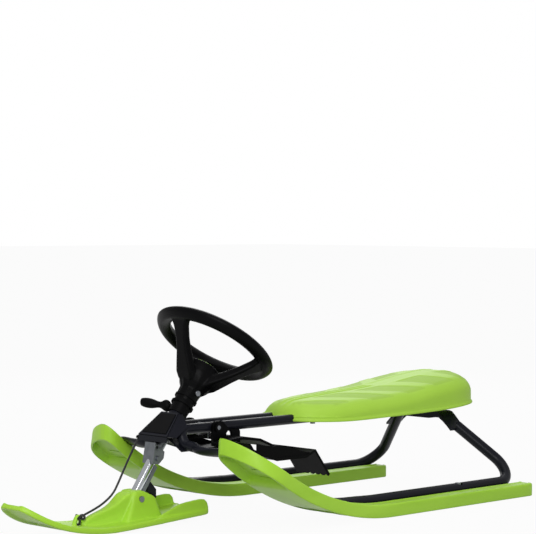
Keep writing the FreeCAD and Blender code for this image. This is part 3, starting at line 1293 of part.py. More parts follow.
def tow_handle():
    """Grip with its socket."""
    across = unit(handle_axis.cross(Vector(0, 0, 1)))
    length = handle_near.distanceToPoint(handle_far)
    sections = []
    for place, width, height in HANDLE_SHARES:
        sections.append(ellipse(handle_near + handle_axis * length * place, Vector(0, 0, 1), across,
                                s.handle_od / 2 * height, s.handle_od / 2 * width))
    grip = Part.makeLoft(sections, True, False)
    socket = Part.makeCylinder(s.peg_od / 2 + s.slack, s.peg_depth + s.overrun,
                               handle_near - handle_axis * s.overrun, handle_axis)
    return grip.cut(socket)


feature("tow_handle", tow_handle())
peg = Part.makeCylinder(s.peg_od / 2, s.peg_root + s.peg_depth - s.slack,
                        handle_near - handle_axis * s.peg_root, handle_axis)
peg = peg.cut(collar_shape)
feature("handle_dock", max(peg.Solids, key=lambda solid: solid.Volume))

# Tow cord: from the eyelet under the console's right corner to the knot on the front ski's loop

CORD_ROUTE = [Vector(*(getattr(s, f"cord_{point}_{axis}") for axis in "xyz")) for point in "abcdefgh"]


def cord_path(points):
    """Straight runs joined by arcs as large as the runs allow."""
    reach_share = 0.45
    radii = []
    for before, corner, after in zip(points, points[1:], points[2:]):
        turn = math.pi - (before - corner).getAngle(after - corner)
        shorter = min(before.distanceToPoint(corner), after.distanceToPoint(corner))
        radii.append(reach_share * shorter / math.tan(turn / 2))
    print("tow cord: radii", [round(radius, 1) for radius in radii])
    return bent_path(points, radii)


cord_line = cord_path(CORD_ROUTE)
cord = round_bar(cord_line, s.cord_od / 2)
print("tow cord: length", round(cord_line.Length, 1), "volume share",
      round(cord.Volume / (math.pi * s.cord_od ** 2 / 4 * cord_line.Length), 4))
feature("tow_cord", cord)

cord_ahead = unit(CORD_ROUTE[1] - CORD_ROUTE[0])
eyelet = Part.makeCylinder(s.eyelet_od / 2, s.eyelet_length, CORD_ROUTE[0] - cord_ahead * s.eyelet_length,
                           cord_ahead)
eyelet = eyelet.cut([console_shape] + tube_pair)
feature("cord_eyelet", max(eyelet.Solids, key=lambda solid: solid.Volume))

knot_ahead = unit(CORD_ROUTE[-1] - CORD_ROUTE[-2])
knot_centre = CORD_ROUTE[-1] + knot_ahead * (s.knot_od - s.cord_od / 2) / 2
knot = Part.makeSphere(s.knot_od / 2, knot_centre)
knot = knot.cut([cord, ski_shape])
feature("tow_knot", max(knot.Solids, key=lambda solid: solid.Volume))

# Every object has to be up to date and every sub-part a valid, closed shape before anything is written

doc.recompute()
for thing in doc.Objects:
    for fault in ("Invalid", "Error"):
        if fault in thing.State:
            raise RuntimeError(f"{thing.Label} is {fault}")
for piece in pieces:
    shape = piece.Shape
    if shape.isNull() or not shape.isValid() or not shape.Solids:
        raise RuntimeError(f"{piece.Label} has no valid solid")

whole = FreeCAD.BoundBox()
for piece in pieces:
    whole.add(piece.Shape.optimalBoundingBox(False, False))
    piece.Shape.exportStep(f"parts/{piece.Label}.step")
print("whole box:", [round(end, 1) for end in (whole.XMin, whole.XMax, whole.YMin, whole.YMax,
                                               whole.ZMin, whole.ZMax)])
print("pieces written:", len(pieces))
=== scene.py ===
# %% [markdown]
# # A snow sled with a steering wheel
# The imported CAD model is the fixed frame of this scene: every tube, ski and bracket is already in its
# place, in metres. Here the sled gets its finishes, and the forms that CAD leaves plain: the crowned seat,
# the moulded wheel, the braided cord, the ribs on the skis and the folds of the sheet metal.

# %% Load the frame
import json
import math
from collections import namedtuple

import bmesh
import bpy
from mathutils import Matrix, Quaternion, Vector

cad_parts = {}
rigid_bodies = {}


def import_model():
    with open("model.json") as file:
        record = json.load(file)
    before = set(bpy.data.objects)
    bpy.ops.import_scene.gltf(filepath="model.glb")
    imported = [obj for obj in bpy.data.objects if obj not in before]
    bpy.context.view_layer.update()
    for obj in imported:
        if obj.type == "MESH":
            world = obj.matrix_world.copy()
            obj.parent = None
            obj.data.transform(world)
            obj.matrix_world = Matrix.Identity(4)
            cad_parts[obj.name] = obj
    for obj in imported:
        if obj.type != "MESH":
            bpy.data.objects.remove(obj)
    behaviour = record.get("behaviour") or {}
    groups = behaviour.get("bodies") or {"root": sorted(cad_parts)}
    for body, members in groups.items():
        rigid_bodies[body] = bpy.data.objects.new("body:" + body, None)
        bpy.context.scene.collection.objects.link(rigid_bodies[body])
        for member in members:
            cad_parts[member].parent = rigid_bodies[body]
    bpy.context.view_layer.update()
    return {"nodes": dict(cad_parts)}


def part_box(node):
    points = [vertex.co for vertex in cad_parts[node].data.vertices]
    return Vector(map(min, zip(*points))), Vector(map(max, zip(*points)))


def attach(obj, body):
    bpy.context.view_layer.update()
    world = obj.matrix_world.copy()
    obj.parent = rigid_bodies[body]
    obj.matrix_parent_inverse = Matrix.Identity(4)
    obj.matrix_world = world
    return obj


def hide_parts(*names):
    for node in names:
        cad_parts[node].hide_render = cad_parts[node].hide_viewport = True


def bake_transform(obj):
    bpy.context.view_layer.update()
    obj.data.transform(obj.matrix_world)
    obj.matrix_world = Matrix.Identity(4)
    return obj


for leftover in list(bpy.data.objects):
    bpy.data.objects.remove(leftover)
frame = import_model()
nodes = frame["nodes"]
scene = bpy.context.scene
scene.view_settings.view_transform = "Standard"

# %% [markdown]
# ## Camera
# The photograph looks at the sled from its front left, close to the ground and with a long lens. A camera
# is a place, a point that it looks at and a lens. The small roll levels the skis as they are in the
# picture. No shift is used, because the picture's framing comes from the aim alone.

# %% Camera
CAMERA_PLACE = Vector((2.5978, 2.6823, 0.5514))
CAMERA_AIM = Vector((-0.0217, 0.0214, 0.4630))
CAMERA_ROLL = math.radians(0.249)
SENSOR_WIDTH, FOCAL_LENGTH = 36, 131.75
camera_data = bpy.data.cameras.new("photo_camera")
camera_data.sensor_width = SENSOR_WIDTH
camera_data.lens = FOCAL_LENGTH
camera = bpy.data.objects.new("photo_camera", camera_data)
scene.collection.objects.link(camera)
scene.camera = camera
camera.location = CAMERA_PLACE
camera.rotation_mode = "QUATERNION"
look = (CAMERA_AIM - CAMERA_PLACE).to_track_quat("-Z", "Y")
camera.rotation_quaternion = look @ Quaternion((0, 0, 1), CAMERA_ROLL)
print("camera looks along", (CAMERA_AIM - CAMERA_PLACE).normalized())

# %% [markdown]
# ## Millimetres and pieces
# Sizes are written in millimetres, as on a drawing, and turned to metres in one place. A finished piece sits
# at the origin with its place in its mesh, rides on one body of the frame and takes one material. A piece
# that is a better form of a CAD node hides the node it replaces.

# %% Millimetres and pieces
MM = 0.001


def mm(*numbers):
    """A point given in millimetres."""
    return Vector(numbers) * MM


def make_piece(name, bm, body, replaces=(), smooth_angle=40):
    """Turn a bmesh into a piece of the sled that rides on a body."""
    mesh = bpy.data.meshes.new(name)
    bm.to_mesh(mesh)
    bm.free()
    piece = bpy.data.objects.new(name, mesh)
    scene.collection.objects.link(piece)
    mesh.shade_smooth()
    mesh.set_sharp_from_angle(angle=math.radians(smooth_angle))
    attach(piece, body)
    if replaces:
        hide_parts(*replaces)
    return piece


def dress(piece, material):
    """Give a piece one material and say how many faces it has."""
    piece.data.materials.clear()
    piece.data.materials.append(material)
    return f"{piece.name}: {len(piece.data.polygons)} faces in {material.name}"


# %% [markdown]
# ## Finishes
# Each material is named for what the real one is. A colour is written as the sRGB hex value that one would
# pick from a picture, and one function turns it to the linear numbers that the shader needs. Patterns are
# scaled from real millimetres: a noise texture of scale 1000 / 2 has lumps about 2 mm across.

# %% Colour and node helpers


def linear(hex_value):
    """An sRGB hex colour as linear red, green, blue and alpha."""
    channels = [int(hex_value[i:i + 2], 16) / 255 for i in (1, 3, 5)]
    return [c / 12.92 if c <= 0.04045 else ((c + 0.055) / 1.055) ** 2.4 for c in channels] + [1]


def add_node(tree, kind, inputs=None, **settings):
    """Add a node, set its properties, and set or link its inputs."""
    made = tree.nodes.new(kind)
    for name, value in settings.items():
        setattr(made, name, value)
    for name, value in (inputs or {}).items():
        if isinstance(value, bpy.types.NodeSocket):
            tree.links.new(value, made.inputs[name])
        else:
            made.inputs[name].default_value = value
    return made


def start_material(name):
    """A material with a plain shader, and the piece's own coordinates."""
    material = bpy.data.materials.new(name)
    material.use_nodes = True
    tree = material.node_tree
    shader = tree.nodes["Principled BSDF"]
    place = add_node(tree, "ShaderNodeTexCoord").outputs["Object"]
    return material, tree, shader, place


def per_mm(size):
    """The scale of a texture whose lumps are a size in millimetres."""
    return 1000 / size


print("middle grey in linear light", [round(channel, 3) for channel in linear("#808080")])

# %% [markdown]
# ### Moulded polyethylene
# The skis and the wheel's cap are lime green polyethylene. It comes from the mould with a waxy, satin skin:
# a broad soft highlight, a faint change of tone over a hand's width, flow streaks along the ski and a fine
# grain that only shows close up. One plain colour would look like paint, so two tones are mixed by a noise
# that is stretched along the piece.

# %% Green polyethylene


def green_polyethylene(name, light, deep, streaks):
    """Lime green moulded skin between two tones."""
    material, tree, shader, place = start_material(name)
    stretch = add_node(tree, "ShaderNodeMapping", {"Vector": place, "Scale": streaks})
    cloud = add_node(tree, "ShaderNodeTexNoise", {
        "Vector": stretch.outputs["Vector"], "Scale": per_mm(70), "Detail": 3, "Roughness": 0.55})
    tone = add_node(tree, "ShaderNodeValToRGB", {"Fac": cloud.outputs["Fac"]})
    for stop, position, colour in zip(tone.color_ramp.elements, (0.30, 0.70), (deep, light)):
        stop.position = position
        stop.color = linear(colour)
    grain = add_node(tree, "ShaderNodeTexNoise", {
        "Vector": place, "Scale": per_mm(0.9), "Detail": 2, "Roughness": 0.6})
    gloss = add_node(tree, "ShaderNodeMapRange", {
        "Value": grain.outputs["Fac"], "To Min": 0.34, "To Max": 0.50})
    corner = add_node(tree, "ShaderNodeBevel", {"Radius": 1.6 * MM}, samples=4)
    skin = add_node(tree, "ShaderNodeBump", {
        "Height": grain.outputs["Fac"], "Strength": 0.12, "Distance": 0.12 * MM,
        "Normal": corner.outputs["Normal"]})
    tree.links.new(tone.outputs["Color"], shader.inputs["Base Color"])
    tree.links.new(gloss.outputs["Result"], shader.inputs["Roughness"])
    tree.links.new(skin.outputs["Normal"], shader.inputs["Normal"])
    shader.inputs["Specular IOR Level"].default_value = 0.35
    return material


ski_green = green_polyethylene("polyethylene_ski_green", "#A6D63C", "#9ACB30", (0.25, 1.4, 1.4))
cap_green = green_polyethylene("polyethylene_cap_green", "#8FBE38", "#84B430", (1, 1, 1))
print("green finishes:", ski_green.name, cap_green.name)

# %% [markdown]
# ### Seat polyethylene
# The seat has two skins: smooth bands with a brighter sheen, and sunk panels with a leathery grain that
# keeps the rider from sliding. The bands' sheen comes from their lower roughness and also from a painted
# sheen, a lighter green, while the panels get a darker green as painted shade, though both are one plastic.
# Two materials would need the panels' faces picked one by one. An attribute of the seat's mesh says where
# the panels are instead, so one finish follows the moulded outline exactly.

# %% Seat polyethylene
seat_green, tree, shader, place = start_material("polyethylene_seat_green")
panel = add_node(tree, "ShaderNodeAttribute", attribute_name="panel").outputs["Fac"]
cloud = add_node(tree, "ShaderNodeTexNoise", {"Vector": place, "Scale": per_mm(90), "Detail": 2})
# Painted sheen and painted shade: the same green plastic is painted lighter on the bands and darker in the
# sunk panels.
band_green_painted_sheen = add_node(tree, "ShaderNodeMix", {
    "Factor": cloud.outputs["Fac"], "A": linear("#A0CC3C"), "B": linear("#A8D444")}, data_type="RGBA")
panel_green_painted_shade = add_node(tree, "ShaderNodeMix", {
    "Factor": cloud.outputs["Fac"], "A": linear("#96C03A"), "B": linear("#9EC642")}, data_type="RGBA")
tone = add_node(tree, "ShaderNodeMix", {
    "Factor": panel, "A": band_green_painted_sheen.outputs["Result"], "B": panel_green_painted_shade.outputs["Result"]},
    data_type="RGBA")
leather = add_node(tree, "ShaderNodeTexVoronoi", {"Vector": place, "Scale": per_mm(2.4)},
                   feature="SMOOTH_F1")
fine = add_node(tree, "ShaderNodeTexNoise", {"Vector": place, "Scale": per_mm(0.9), "Detail": 2})
gloss = add_node(tree, "ShaderNodeMapRange", {"Value": panel, "To Min": 0.50, "To Max": 0.62})
smooth_skin = add_node(tree, "ShaderNodeBump", {
    "Height": fine.outputs["Fac"], "Strength": 0.08, "Distance": 0.1 * MM})
panel_depth = add_node(tree, "ShaderNodeMath", {0: leather.outputs["Distance"], 1: panel},
                       operation="MULTIPLY")
grained = add_node(tree, "ShaderNodeBump", {
    "Height": panel_depth.outputs["Value"], "Strength": 0.35, "Distance": 0.5 * MM,
    "Normal": smooth_skin.outputs["Normal"]})
tree.links.new(tone.outputs["Result"], shader.inputs["Base Color"])
tree.links.new(gloss.outputs["Result"], shader.inputs["Roughness"])
tree.links.new(grained.outputs["Normal"], shader.inputs["Normal"])
shader.inputs["Specular IOR Level"].default_value = 0.38
print("seat finish:", seat_green.name, "with", len(tree.nodes), "nodes")

# %% [markdown]
# ### Painted steel
# The tubes are powder coated in a dark blue-black, which leaves a skin with a slight orange peel and a
# soft gloss. The brake is stamped plate in a flatter black coat. Both are the same finish with other
# numbers, so one function makes them.

# %% Powder coat


def powder_coat(name, light, dark, roughness, peel, shine):
    """Dark coat on steel with orange peel of a size in millimetres."""
    material, tree, shader, place = start_material(name)
    cloud = add_node(tree, "ShaderNodeTexNoise", {"Vector": place, "Scale": per_mm(30), "Detail": 4})
    tone = add_node(tree, "ShaderNodeMix", {
        "Factor": cloud.outputs["Fac"], "A": linear(dark), "B": linear(light)}, data_type="RGBA")
    peel_noise = add_node(tree, "ShaderNodeTexNoise", {
        "Vector": place, "Scale": per_mm(peel), "Detail": 1})
    gloss = add_node(tree, "ShaderNodeMapRange", {
        "Value": cloud.outputs["Fac"], "To Min": roughness - 0.06, "To Max": roughness + 0.08})
    corner = add_node(tree, "ShaderNodeBevel", {"Radius": 1.0 * MM}, samples=4)
    skin = add_node(tree, "ShaderNodeBump", {
        "Height": peel_noise.outputs["Fac"], "Strength": 0.10, "Distance": 0.15 * MM,
        "Normal": corner.outputs["Normal"]})
    tree.links.new(tone.outputs["Result"], shader.inputs["Base Color"])
    tree.links.new(gloss.outputs["Result"], shader.inputs["Roughness"])
    tree.links.new(skin.outputs["Normal"], shader.inputs["Normal"])
    shader.inputs["Specular IOR Level"].default_value = shine
    return material


frame_coat = powder_coat("powder_coat_blue_black", "#1B1C24", "#13141A", 0.30, 1.6, 0.11)
brake_coat = powder_coat("powder_coat_brake_black", "#060607", "#030304", 0.46, 1.2, 0.05)
print("coats:", frame_coat.name, brake_coat.name)

# %% [markdown]
# ### Black plastics
# Wheel, collar and tow handle are black moulded polypropylene from a spark-eroded mould: nearly black, with
# a fine even grain that breaks the highlights up into a satin sheen. The console's smooth plate and the grey
# acetal bushes differ from it only in colour and gloss, so the same function makes them too.

# %% Black plastics


def black_polypropylene(name, colour, worn, roughness):
    """Near-black moulded plastic with a spark-eroded grain."""
    material, tree, shader, place = start_material(name)
    grain = add_node(tree, "ShaderNodeTexVoronoi", {"Vector": place, "Scale": per_mm(0.8)})
    cloud = add_node(tree, "ShaderNodeTexNoise", {"Vector": place, "Scale": per_mm(25), "Detail": 3})
    tone = add_node(tree, "ShaderNodeMix", {
        "Factor": cloud.outputs["Fac"], "A": linear(colour), "B": linear(worn)}, data_type="RGBA")
    gloss = add_node(tree, "ShaderNodeMapRange", {
        "Value": cloud.outputs["Fac"], "To Min": roughness - 0.05, "To Max": roughness + 0.07})
    skin = add_node(tree, "ShaderNodeBump", {
        "Height": grain.outputs["Distance"], "Strength": 0.10, "Distance": 0.1 * MM})
    tree.links.new(tone.outputs["Result"], shader.inputs["Base Color"])
    tree.links.new(gloss.outputs["Result"], shader.inputs["Roughness"])
    tree.links.new(skin.outputs["Normal"], shader.inputs["Normal"])
    shader.inputs["Specular IOR Level"].default_value = 0.05
    return material


wheel_black = black_polypropylene("polypropylene_wheel_black", "#060607", "#0D0D0E", 0.36)
trim_black = black_polypropylene("polypropylene_trim_black", "#060607", "#0E0E0F", 0.46)
label_black = black_polypropylene("enamelled_plate_black", "#060607", "#0B0B0C", 0.30)
bush_grey = black_polypropylene("acetal_bush", "#2A2A2C", "#333336", 0.42)
print("plastics:", wheel_black.name, trim_black.name, label_black.name, bush_grey.name)

# %% [markdown]
# ### Bright metal
# The yoke, the channel and the fasteners are zinc plated steel: grey, a little cloudy, with fine drawing
# lines. The leg is chromed tube, which is close to a mirror. Both are metals with a cloudy tone, so they
# share a function, and the roughness tells them apart.

# %% Zinc and chrome


def plated_metal(name, light, dark, roughness, lines):
    """Plated metal with a cloudy tone and fine lines along Z."""
    material, tree, shader, place = start_material(name)
    cloud = add_node(tree, "ShaderNodeTexNoise", {"Vector": place, "Scale": per_mm(9), "Detail": 4})
    tone = add_node(tree, "ShaderNodeMix", {
        "Factor": cloud.outputs["Fac"], "A": linear(dark), "B": linear(light)}, data_type="RGBA")
    stretch = add_node(tree, "ShaderNodeMapping", {"Vector": place, "Scale": (1, 1, 0.04)})
    drawn = add_node(tree, "ShaderNodeTexNoise", {
        "Vector": stretch.outputs["Vector"], "Scale": per_mm(0.7), "Detail": 2})
    gloss = add_node(tree, "ShaderNodeMapRange", {
        "Value": cloud.outputs["Fac"], "To Min": roughness * 0.8, "To Max": roughness * 1.3})
    corner = add_node(tree, "ShaderNodeBevel", {"Radius": 0.7 * MM}, samples=4)
    skin = add_node(tree, "ShaderNodeBump", {
        "Height": drawn.outputs["Fac"], "Strength": lines, "Distance": 0.05 * MM,
        "Normal": corner.outputs["Normal"]})
    tree.links.new(tone.outputs["Result"], shader.inputs["Base Color"])
    tree.links.new(gloss.outputs["Result"], shader.inputs["Roughness"])
    tree.links.new(skin.outputs["Normal"], shader.inputs["Normal"])
    shader.inputs["Metallic"].default_value = 1
    return material


zinc = plated_metal("zinc_plated_steel", "#8E9196", "#6C7075", 0.36, 0.15)
chrome = plated_metal("chromed_steel_tube", "#D3D6DA", "#C2C5CA", 0.10, 0.05)
print("metals:", zinc.name, chrome.name)

# %% [markdown]
# ### Braided cord
# The tow cord is thin black polyester braid. Its strands are too fine to show at this distance, so they are
# drawn as lumps of about 1.2 mm, with the dull fibre sheen that keeps it from looking like wire.

# %% Braided cord
cord_braid, tree, shader, place = start_material("polyester_braid_black")
strands = add_node(tree, "ShaderNodeTexVoronoi", {"Vector": place, "Scale": per_mm(1.2)})
tone = add_node(tree, "ShaderNodeMix", {
    "Factor": strands.outputs["Distance"], "A": linear("#1C1C1E"), "B": linear("#0A0A0B")},
    data_type="RGBA")
weave = add_node(tree, "ShaderNodeBump", {
    "Height": strands.outputs["Distance"], "Strength": 0.5, "Distance": 0.3 * MM})
tree.links.new(tone.outputs["Result"], shader.inputs["Base Color"])
tree.links.new(weave.outputs["Normal"], shader.inputs["Normal"])
shader.inputs["Roughness"].default_value = 0.7
shader.inputs["Sheen Weight"].default_value = 0.2
print("cord finish:", cord_braid.name)

# %% [markdown]
# ## Dressing the CAD nodes
# Tubes, brackets and fasteners already have their right shape in CAD and only need a finish. One table says
# which finish each node has, so that none is forgotten. Nodes that a later piece replaces are in it as well.

# %% Dress the nodes
NODE_FINISH = {
    ski_green: ("rear_ski_left", "rear_ski_right", "front_ski"),
    cap_green: ("wheel_cap", "seat_shell"),
    frame_coat: ("ski_rail_left", "ski_rail_right", "rear_bridge", "seat_tube_left", "seat_tube_right",
                 "head_tube", "head_bridge", "head_gussets", "steering_console", "leg_stay"),
    brake_coat: ("brake_pedal",),
    wheel_black: ("steering_wheel",),
    trim_black: ("column_collar", "handle_dock", "rod_caps", "cord_eyelet", "tow_handle"),
    label_black: ("console_plate",),
    zinc: ("steering_column", "steering_yoke", "leg_channel", "hub_bolt", "hub_nut", "yoke_bolt",
           "yoke_nut", "tower_bolt", "tower_nut", "rail_bolts", "rail_washers", "rail_nuts", "seat_screws",
           "brake_studs", "brake_rod", "brake_spring"),
    chrome: ("leg_tube",),
    bush_grey: ("upper_bush", "lower_bush"),
    cord_braid: ("tow_cord", "tow_knot"),
}
for material, names in NODE_FINISH.items():
    for name in names:
        dress(nodes[name], material)
print("nodes without a finish:", set(nodes) - {name for names in NODE_FINISH.values() for name in names})

# %% [markdown]
# ## Tow cord
# A thin cord comes out under the console's right corner, sags forward and is tied to the front ski. A cord
# is one smooth line, so the points of its route are the control points of a NURBS spline. The line is turned
# into a tube by the curve's own bevel.

# %% Tow cord
CORD_DIAMETER = 4
CORD_ROUTE = [mm(*point) for point in (
    (249, -41, 151), (261, -45, 127), (276, -47, 99), (304, -32, 75),
    (332, -13, 60), (362, -3, 47), (392, 1, 37), (415, 1, 30))]


def spline_object(name, points, diameter, closed=False):
    """A NURBS line that follows its points, with a round bevel."""
    curve = bpy.data.curves.new(name, "CURVE")
    curve.dimensions = "3D"
    curve.resolution_u = 16
    spline = curve.splines.new("NURBS")
    spline.points.add(len(points) - 1)
    for control, point in zip(spline.points, points):
        control.co = (*point, 1)
    spline.order_u = 3
    spline.use_endpoint_u = not closed
    spline.use_cyclic_u = closed
    curve.bevel_depth = diameter / 2 * MM
    curve.bevel_resolution = 4
    curve.use_fill_caps = True
    return bpy.data.objects.new(name, curve)


cord_line = spline_object("tow_cord_line", CORD_ROUTE, 0)
line_mesh = bpy.data.meshes.new_from_object(cord_line)
cord_tube = spline_object("tow_cord_tube", CORD_ROUTE, CORD_DIAMETER)
tow_cord = bpy.data.objects.new("tow_cord_braid", bpy.data.meshes.new_from_object(cord_tube))
scene.collection.objects.link(tow_cord)
tow_cord.data.shade_smooth()
dress(tow_cord, cord_braid)
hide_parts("tow_cord")
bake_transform(tow_cord)

# %% [markdown]
# ### Knot
# The cord is tied to the ski's loop. The knot is a trefoil, the simplest knot there is, wound tight, with
# one turn of cord over the loop. Both are closed lines from a formula, with the cord's own bevel a little
# thicker, because a knotted braid swells.

# %% Knot
KNOT_CENTRE, KNOT_SIZE, KNOT_LENGTH_SHARE = mm(419.4, 1, 28.6), 3.1, 0.8
HITCH_CENTRE, HITCH_HALF_WIDTH, HITCH_HALF_HEIGHT = mm(425, 0, 22), 7.2, 6.5
KNOT_CORD_DIAMETER, KNOT_POINTS, HITCH_POINTS = 4.4, 24, 16


def turns(count):
    """The angles of points spaced evenly round a circle."""
    return [2 * math.pi * index / count for index in range(count)]


trefoil = [KNOT_CENTRE + KNOT_SIZE * mm(
    (math.sin(turn) + 2 * math.sin(2 * turn)) * KNOT_LENGTH_SHARE,
    math.cos(turn) - 2 * math.cos(2 * turn),
    -math.sin(3 * turn)) for turn in turns(KNOT_POINTS)]
hitch = [HITCH_CENTRE + mm(0, HITCH_HALF_WIDTH * math.cos(turn), HITCH_HALF_HEIGHT * math.sin(turn))
         for turn in turns(HITCH_POINTS)]
knot_bm = bmesh.new()
for name, points in (("knot_line", trefoil), ("hitch_line", hitch)):
    knot_line = spline_object(name, points, KNOT_CORD_DIAMETER, closed=True)
    knot_bm.from_mesh(bpy.data.meshes.new_from_object(knot_line))
tow_knot = make_piece("tow_cord_knot", knot_bm, "steering", ["tow_knot"])
print(dress(tow_knot, cord_braid))

# %% [markdown]
# ## Seat
# The seat is one hollow moulding: a pear-shaped dish with a rolled shoulder and a thin lip round its lower
# edge. A boat builder would describe such a form by a few fair curves, and so does this cell: the half
# width seen from above, the crest along the middle and the line of the lower edge, each a short table with
# a smooth curve through it. The width is drawn over an angle and not over the length, which is what makes
# both ends come out round.

# %% Curves of the seat
SEAT_FRONT_X, SEAT_LENGTH, SEAT_HALF = -72, 512, 111.5
SEAT_CROWN, SEAT_END_HALF = 15, 20
LIP_REACH, LIP_HEIGHT = 3.2, 4.5
WIDTH_SHARES = ((0, 0), (0.006, 0.30), (0.03, 0.56), (0.075, 0.70), (0.15, 0.84), (0.30, 0.93),
                (0.50, 0.985), (0.68, 1.0), (0.80, 0.99), (0.89, 0.92), (0.94, 0.79), (0.972, 0.60),
                (0.992, 0.34), (1, 0))
CREST_HEIGHTS = ((0, 200), (0.075, 204), (0.15, 207), (0.30, 212), (0.50, 219), (0.68, 231.5),
                 (0.80, 239), (0.89, 241.5), (1, 237))
RIM_HEIGHTS = ((-72, 166), (-174, 164), (-274, 166), (-372, 168), (-438, 170), (-492, 173),
               (-540, 176.5), (-584, 179))


def curve_through(table, at):
    """A smooth curve through (place, value) pairs."""
    table = sorted(table)
    if at <= table[0][0]:
        return table[0][1]
    if at >= table[-1][0]:
        return table[-1][1]
    index = max(i for i, pair in enumerate(table) if pair[0] <= at)

    def slope(i):
        before, after = table[max(i - 1, 0)], table[min(i + 1, len(table) - 1)]
        return (after[1] - before[1]) / (after[0] - before[0])

    (x0, y0), (x1, y1) = table[index], table[index + 1]
    span = x1 - x0
    t = (at - x0) / span
    return ((2 * t**3 - 3 * t**2 + 1) * y0 + (t**3 - 2 * t**2 + t) * span * slope(index)
            + (3 * t**2 - 2 * t**3) * y1 + (t**3 - t**2) * span * slope(index + 1))


def along_seat(place_share):
    """The angle whose cosine gives a place along the seat, so that both ends come out round."""
    return math.acos(1 - 2 * place_share)


width_table = [(along_seat(place_share), share * (SEAT_HALF - LIP_REACH))
               for place_share, share in WIDTH_SHARES]


def seat_half_width(place_share):
    """Half the seat's width at a place along it."""
    return curve_through(width_table, along_seat(min(1, max(0, place_share))))


def rim_height(x):
    """Height of the lip's lower edge, which rises to the rear."""
    return curve_through(RIM_HEIGHTS, x)


def crest_height(x, y):
    """Height of the seat's top before the shoulder takes it down."""
    place_share = (SEAT_FRONT_X - x) / SEAT_LENGTH
    half = max(seat_half_width(place_share), SEAT_END_HALF)
    return curve_through(CREST_HEIGHTS, place_share) - SEAT_CROWN * min(1, abs(y) / half) ** 2


print("seat is", round(2 * (seat_half_width(0.68) + LIP_REACH)), "mm wide at its widest")

# %% [markdown]
# ### Panels and grooves of the seat
# Five pairs of arrow panels are sunk into the seat's top, with a double groove between the front ones and a
# shallow channel between the rear ones. They could be cut with booleans, which leave ragged edges on a
# curved top. Here each is a depth that can be worked out for any point, so the top stays one even grid and
# the edges stay soft. A panel is a convex outline, and a point is inside it by its distance to the nearest
# side.

# %% Panels and grooves of the seat
PANELS = (
    ((-92, 16), (-108, 40), (-125, 57), (-156, 75), (-189, 79), (-189, 72)),
    ((-148, 19), (-221, 19), (-308, 89), (-249, 87)),
    ((-264, 21), (-335, 21.5), (-400, 93), (-348, 92)),
    ((-381, 26), (-450, 27), (-489, 93), (-428, 94)),
    ((-493, 28), (-560, 33), (-558, 47), (-544, 75), (-519, 90), (-513, 87)),
)
PANEL_EDGE, PANEL_DEPTH = 0.9, 0.9
GROOVE_FRONT, GROOVE_REAR, GROOVE_INNER, GROOVE_OUTER = (-84, -96), (-345, -325), (2.0, 4.5), (14, 10.5)
CHANNEL_FRONT, CHANNEL_REAR, CHANNEL_SIDE = (-322, -350), (-572, -545), (20, 14)
GROOVE_DEPTH, CHANNEL_DEPTH = 2.2, 1.3


def between(low, high, at):
    """Smooth step from 0 at low to 1 at high."""
    share = min(1, max(0, (at - low) / (high - low)))
    return share * share * (3 - 2 * share)


def depth_inside(corners, x, y):
    """How far a point lies inside a convex outline, in millimetres, negative outside."""
    sides = list(zip(corners, corners[1:] + corners[:1]))
    area = sum(ax * by - bx * ay for (ax, ay), (bx, by) in sides)
    return min(math.copysign(1, area) * ((bx - ax) * (y - ay) - (by - ay) * (x - ax))
               / math.hypot(bx - ax, by - ay) for (ax, ay), (bx, by) in sides)


def seat_relief(x, y):
    """Share of a panel at a point of the seat's top, and the depth of all relief there."""
    aside = abs(y)
    inside = max(depth_inside(corners, x, aside) for corners in PANELS)
    panel_share = between(-PANEL_EDGE, PANEL_EDGE, inside)
    groove = between(*GROOVE_INNER, aside) * between(*GROOVE_OUTER, aside)
    groove *= between(*GROOVE_REAR, x) * between(*GROOVE_FRONT, x)
    channel = between(*CHANNEL_SIDE, aside) * between(*CHANNEL_FRONT, x) * between(*CHANNEL_REAR, x)
    return panel_share, PANEL_DEPTH * panel_share + GROOVE_DEPTH * groove + CHANNEL_DEPTH * channel


print("seat has", 2 * len(PANELS), "sunk panels")

# %% [markdown]
# ### Lower edge of the seat
# The skin starts from the lip, one closed loop of points. For each point this cell finds the place on the
# lower edge, the way outwards there, and the point of the middle line that the skin runs in to. The middle
# line is shorter than the seat, so that the rows of the mesh fan out at both ends and don't crowd together.

# %% Lower edge of the seat
SEAT_POINTS, MIDDLE_LENGTH_SHARE = 480, 0.72
seat_angles = turns(SEAT_POINTS)
rim, middle = [], []
for angle in seat_angles:
    place_share = (1 - math.cos(angle)) / 2
    side = 1 if angle <= math.pi else -1
    x = SEAT_FRONT_X - LIP_REACH - (SEAT_LENGTH - 2 * LIP_REACH) * place_share
    rim.append(Vector((x, side * seat_half_width(place_share), 0)))
    middle_share = 0.5 + (place_share - 0.5) * MIDDLE_LENGTH_SHARE
    middle.append(Vector((SEAT_FRONT_X - SEAT_LENGTH * middle_share, 0, 0)))
outward = []
for index in range(SEAT_POINTS):
    tangent = rim[(index + 1) % SEAT_POINTS] - rim[index - 1]
    outward.append(Vector((tangent.y, -tangent.x, 0)).normalized())
print("the lip has", len(rim), "points")

# %% [markdown]
# ### Skin of the seat
# The lip's loop is now extruded ring by ring: round the lip, up the wall, over the shoulder and in to the
# middle line, and every ring is moved to its place on the form. The shoulder is a quarter of an ellipse that
# grows towards both ends. Solidify then gives the skin the wall that the hollow moulding has.

# %% Skin of the seat
SEAT_WALL, WALL_FOOT, LEAST_WALL = 3.2, 2.5, 2
SHOULDER_REACH, SHOULDER_DROP = 26, 21
END_POWER, END_REACH, END_DROP = 6, 14, 9
SEAT_TOP_RINGS, SHOULDER_RINGS, MERGE_DISTANCE = 46, 9, 0.05
LIP_RINGS = ((LIP_REACH - 0.6, 0), (LIP_REACH, 1.2), (LIP_REACH - 0.5, LIP_HEIGHT - 1),
             (0.5, LIP_HEIGHT + 1))


